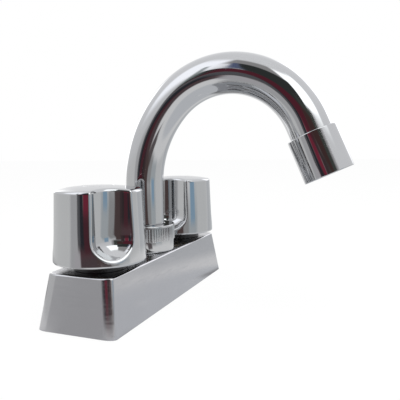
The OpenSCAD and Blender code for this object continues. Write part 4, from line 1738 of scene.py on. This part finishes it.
    def tent_show(self, turn: np.ndarray, tilt: np.ndarray) -> np.ndarray:
        """Works out what the tent shows in each direction.

        Args:
            turn: Angles to the right of the camera's direction.
            tilt: Angles up from level.

        Returns:
            Red, green, blue and cover for each.
        """
        rise = np.clip(tilt / 35.0, 0.0, 1.0)[:, None]
        light = (self.tent_light + self.tent_top_gain * rise) * np.array(self.tent_tone)
        cover = (tilt >= 0.0).astype(float)
        for patch in self.patches:
            share = patch.share(turn, tilt)
            total = share + cover * (1.0 - share)
            mixed = light * (cover * (1.0 - share))[:, None] + np.array(patch.colour) * share[:, None]
            light = np.where(total[:, None] > 0.001, mixed / np.maximum(total, 0.001)[:, None], light)
            cover = total
        return np.column_stack((light, cover))

    def tent(self) -> None:
        """Sets up the tent, a dome whose foot lies on the floor. Only the gloss of the tap shows it."""
        turns = np.arange(-180.0, 180.0, 1.0)
        tilts = np.arange(self.tent_low, 90.5, 1.0)
        turn, tilt = (grid.ravel() for grid in np.meshgrid(turns, tilts))
        way = np.radians(self.azimuth - 90.0 + turn)
        slope = np.radians(tilt)
        drop = self.tent_middle[2] - self.tent_foot_z
        reach = np.where(tilt < -0.5, drop / np.sin(np.maximum(-slope, 0.001)), self.tent_r)
        reach = np.minimum(reach, self.tent_r)
        level = np.cos(slope)
        points = np.column_stack((level * np.cos(way), level * np.sin(way), np.sin(slope)))
        points = (points * reach[:, None] + np.array(self.tent_middle)) * MM
        across = len(turns)
        faces = [
            (low + i, low + (i + 1) % across, low + across + (i + 1) % across, low + across + i)
            for low in range(0, across * (len(tilts) - 1), across) for i in range(across)]
        mesh = bpy.data.meshes.new("reflection_tent")
        mesh.from_pydata(points.tolist(), [], faces)
        light = mesh.color_attributes.new("light", "FLOAT_COLOR", "POINT")
        light.data.foreach_set("color", self.tent_show(turn, tilt).astype(np.float32).ravel())
        material = bare_material("reflection_tent")
        tree = material.node_tree
        read = tree.nodes.new("ShaderNodeAttribute")
        read.attribute_name = "light"
        glow = tree.nodes.new("ShaderNodeEmission")
        tree.links.new(read.outputs["Color"], glow.inputs["Color"])
        clear = tree.nodes.new("ShaderNodeBsdfTransparent")
        output = tree.nodes.new("ShaderNodeOutputMaterial")
        end_in_mix(tree, output, read.outputs["Alpha"], clear, glow)
        mesh.materials.append(material)
        thing = shown("reflection_tent", mesh)
        thing.visible_camera = False
        thing.visible_diffuse = False
        thing.visible_shadow = False
        thing.visible_transmission = False

    def lamp(self, name: str, place: tuple[float, float, float], size: float, power: float) -> None:
        """Hangs one soft lamp that looks at the tap.

        Args:
            name: The lamp's name.
            place: Where it hangs, in metres.
            size: Its width in metres.
            power: Its power in watts.
        """
        data = bpy.data.lights.new(name, "AREA")
        data.shape = "SQUARE"
        data.size = size
        data.energy = power
        thing = shown(name, data)
        thing.location = place
        thing.rotation_mode = "QUATERNION"
        thing.rotation_quaternion = (Vector(place) - Vector(self.lamp_target)).to_track_quat("Z", "Y")

    def build(self) -> None:
        """Sets up the whole studio."""
        self.camera()
        self.floor()
        self.world()
        self.tent()
        self.lamp("overhead_softbox", (-0.2, -0.3, 1.3), size=0.9, power=9.0)
        self.lamp("side_softbox", (-0.9, -1.0, 0.9), size=0.5, power=5.0)
        bpy.context.scene.view_settings.view_transform = "Standard"


def main() -> None:
    """Builds the tap and its studio."""
    logging.basicConfig(level=logging.INFO, format="%(name)s: %(message)s")
    Studio().build()
    BaseBlock().build()
    thread, wings = thread_form(), wings_form()
    for side in Side:
        UnderDeck(side, thread, wings).build()
        Knob(side).build()
    SwivelCollar().build()
    GooseneckSpout().build()


if __name__ == "__main__":
    main()
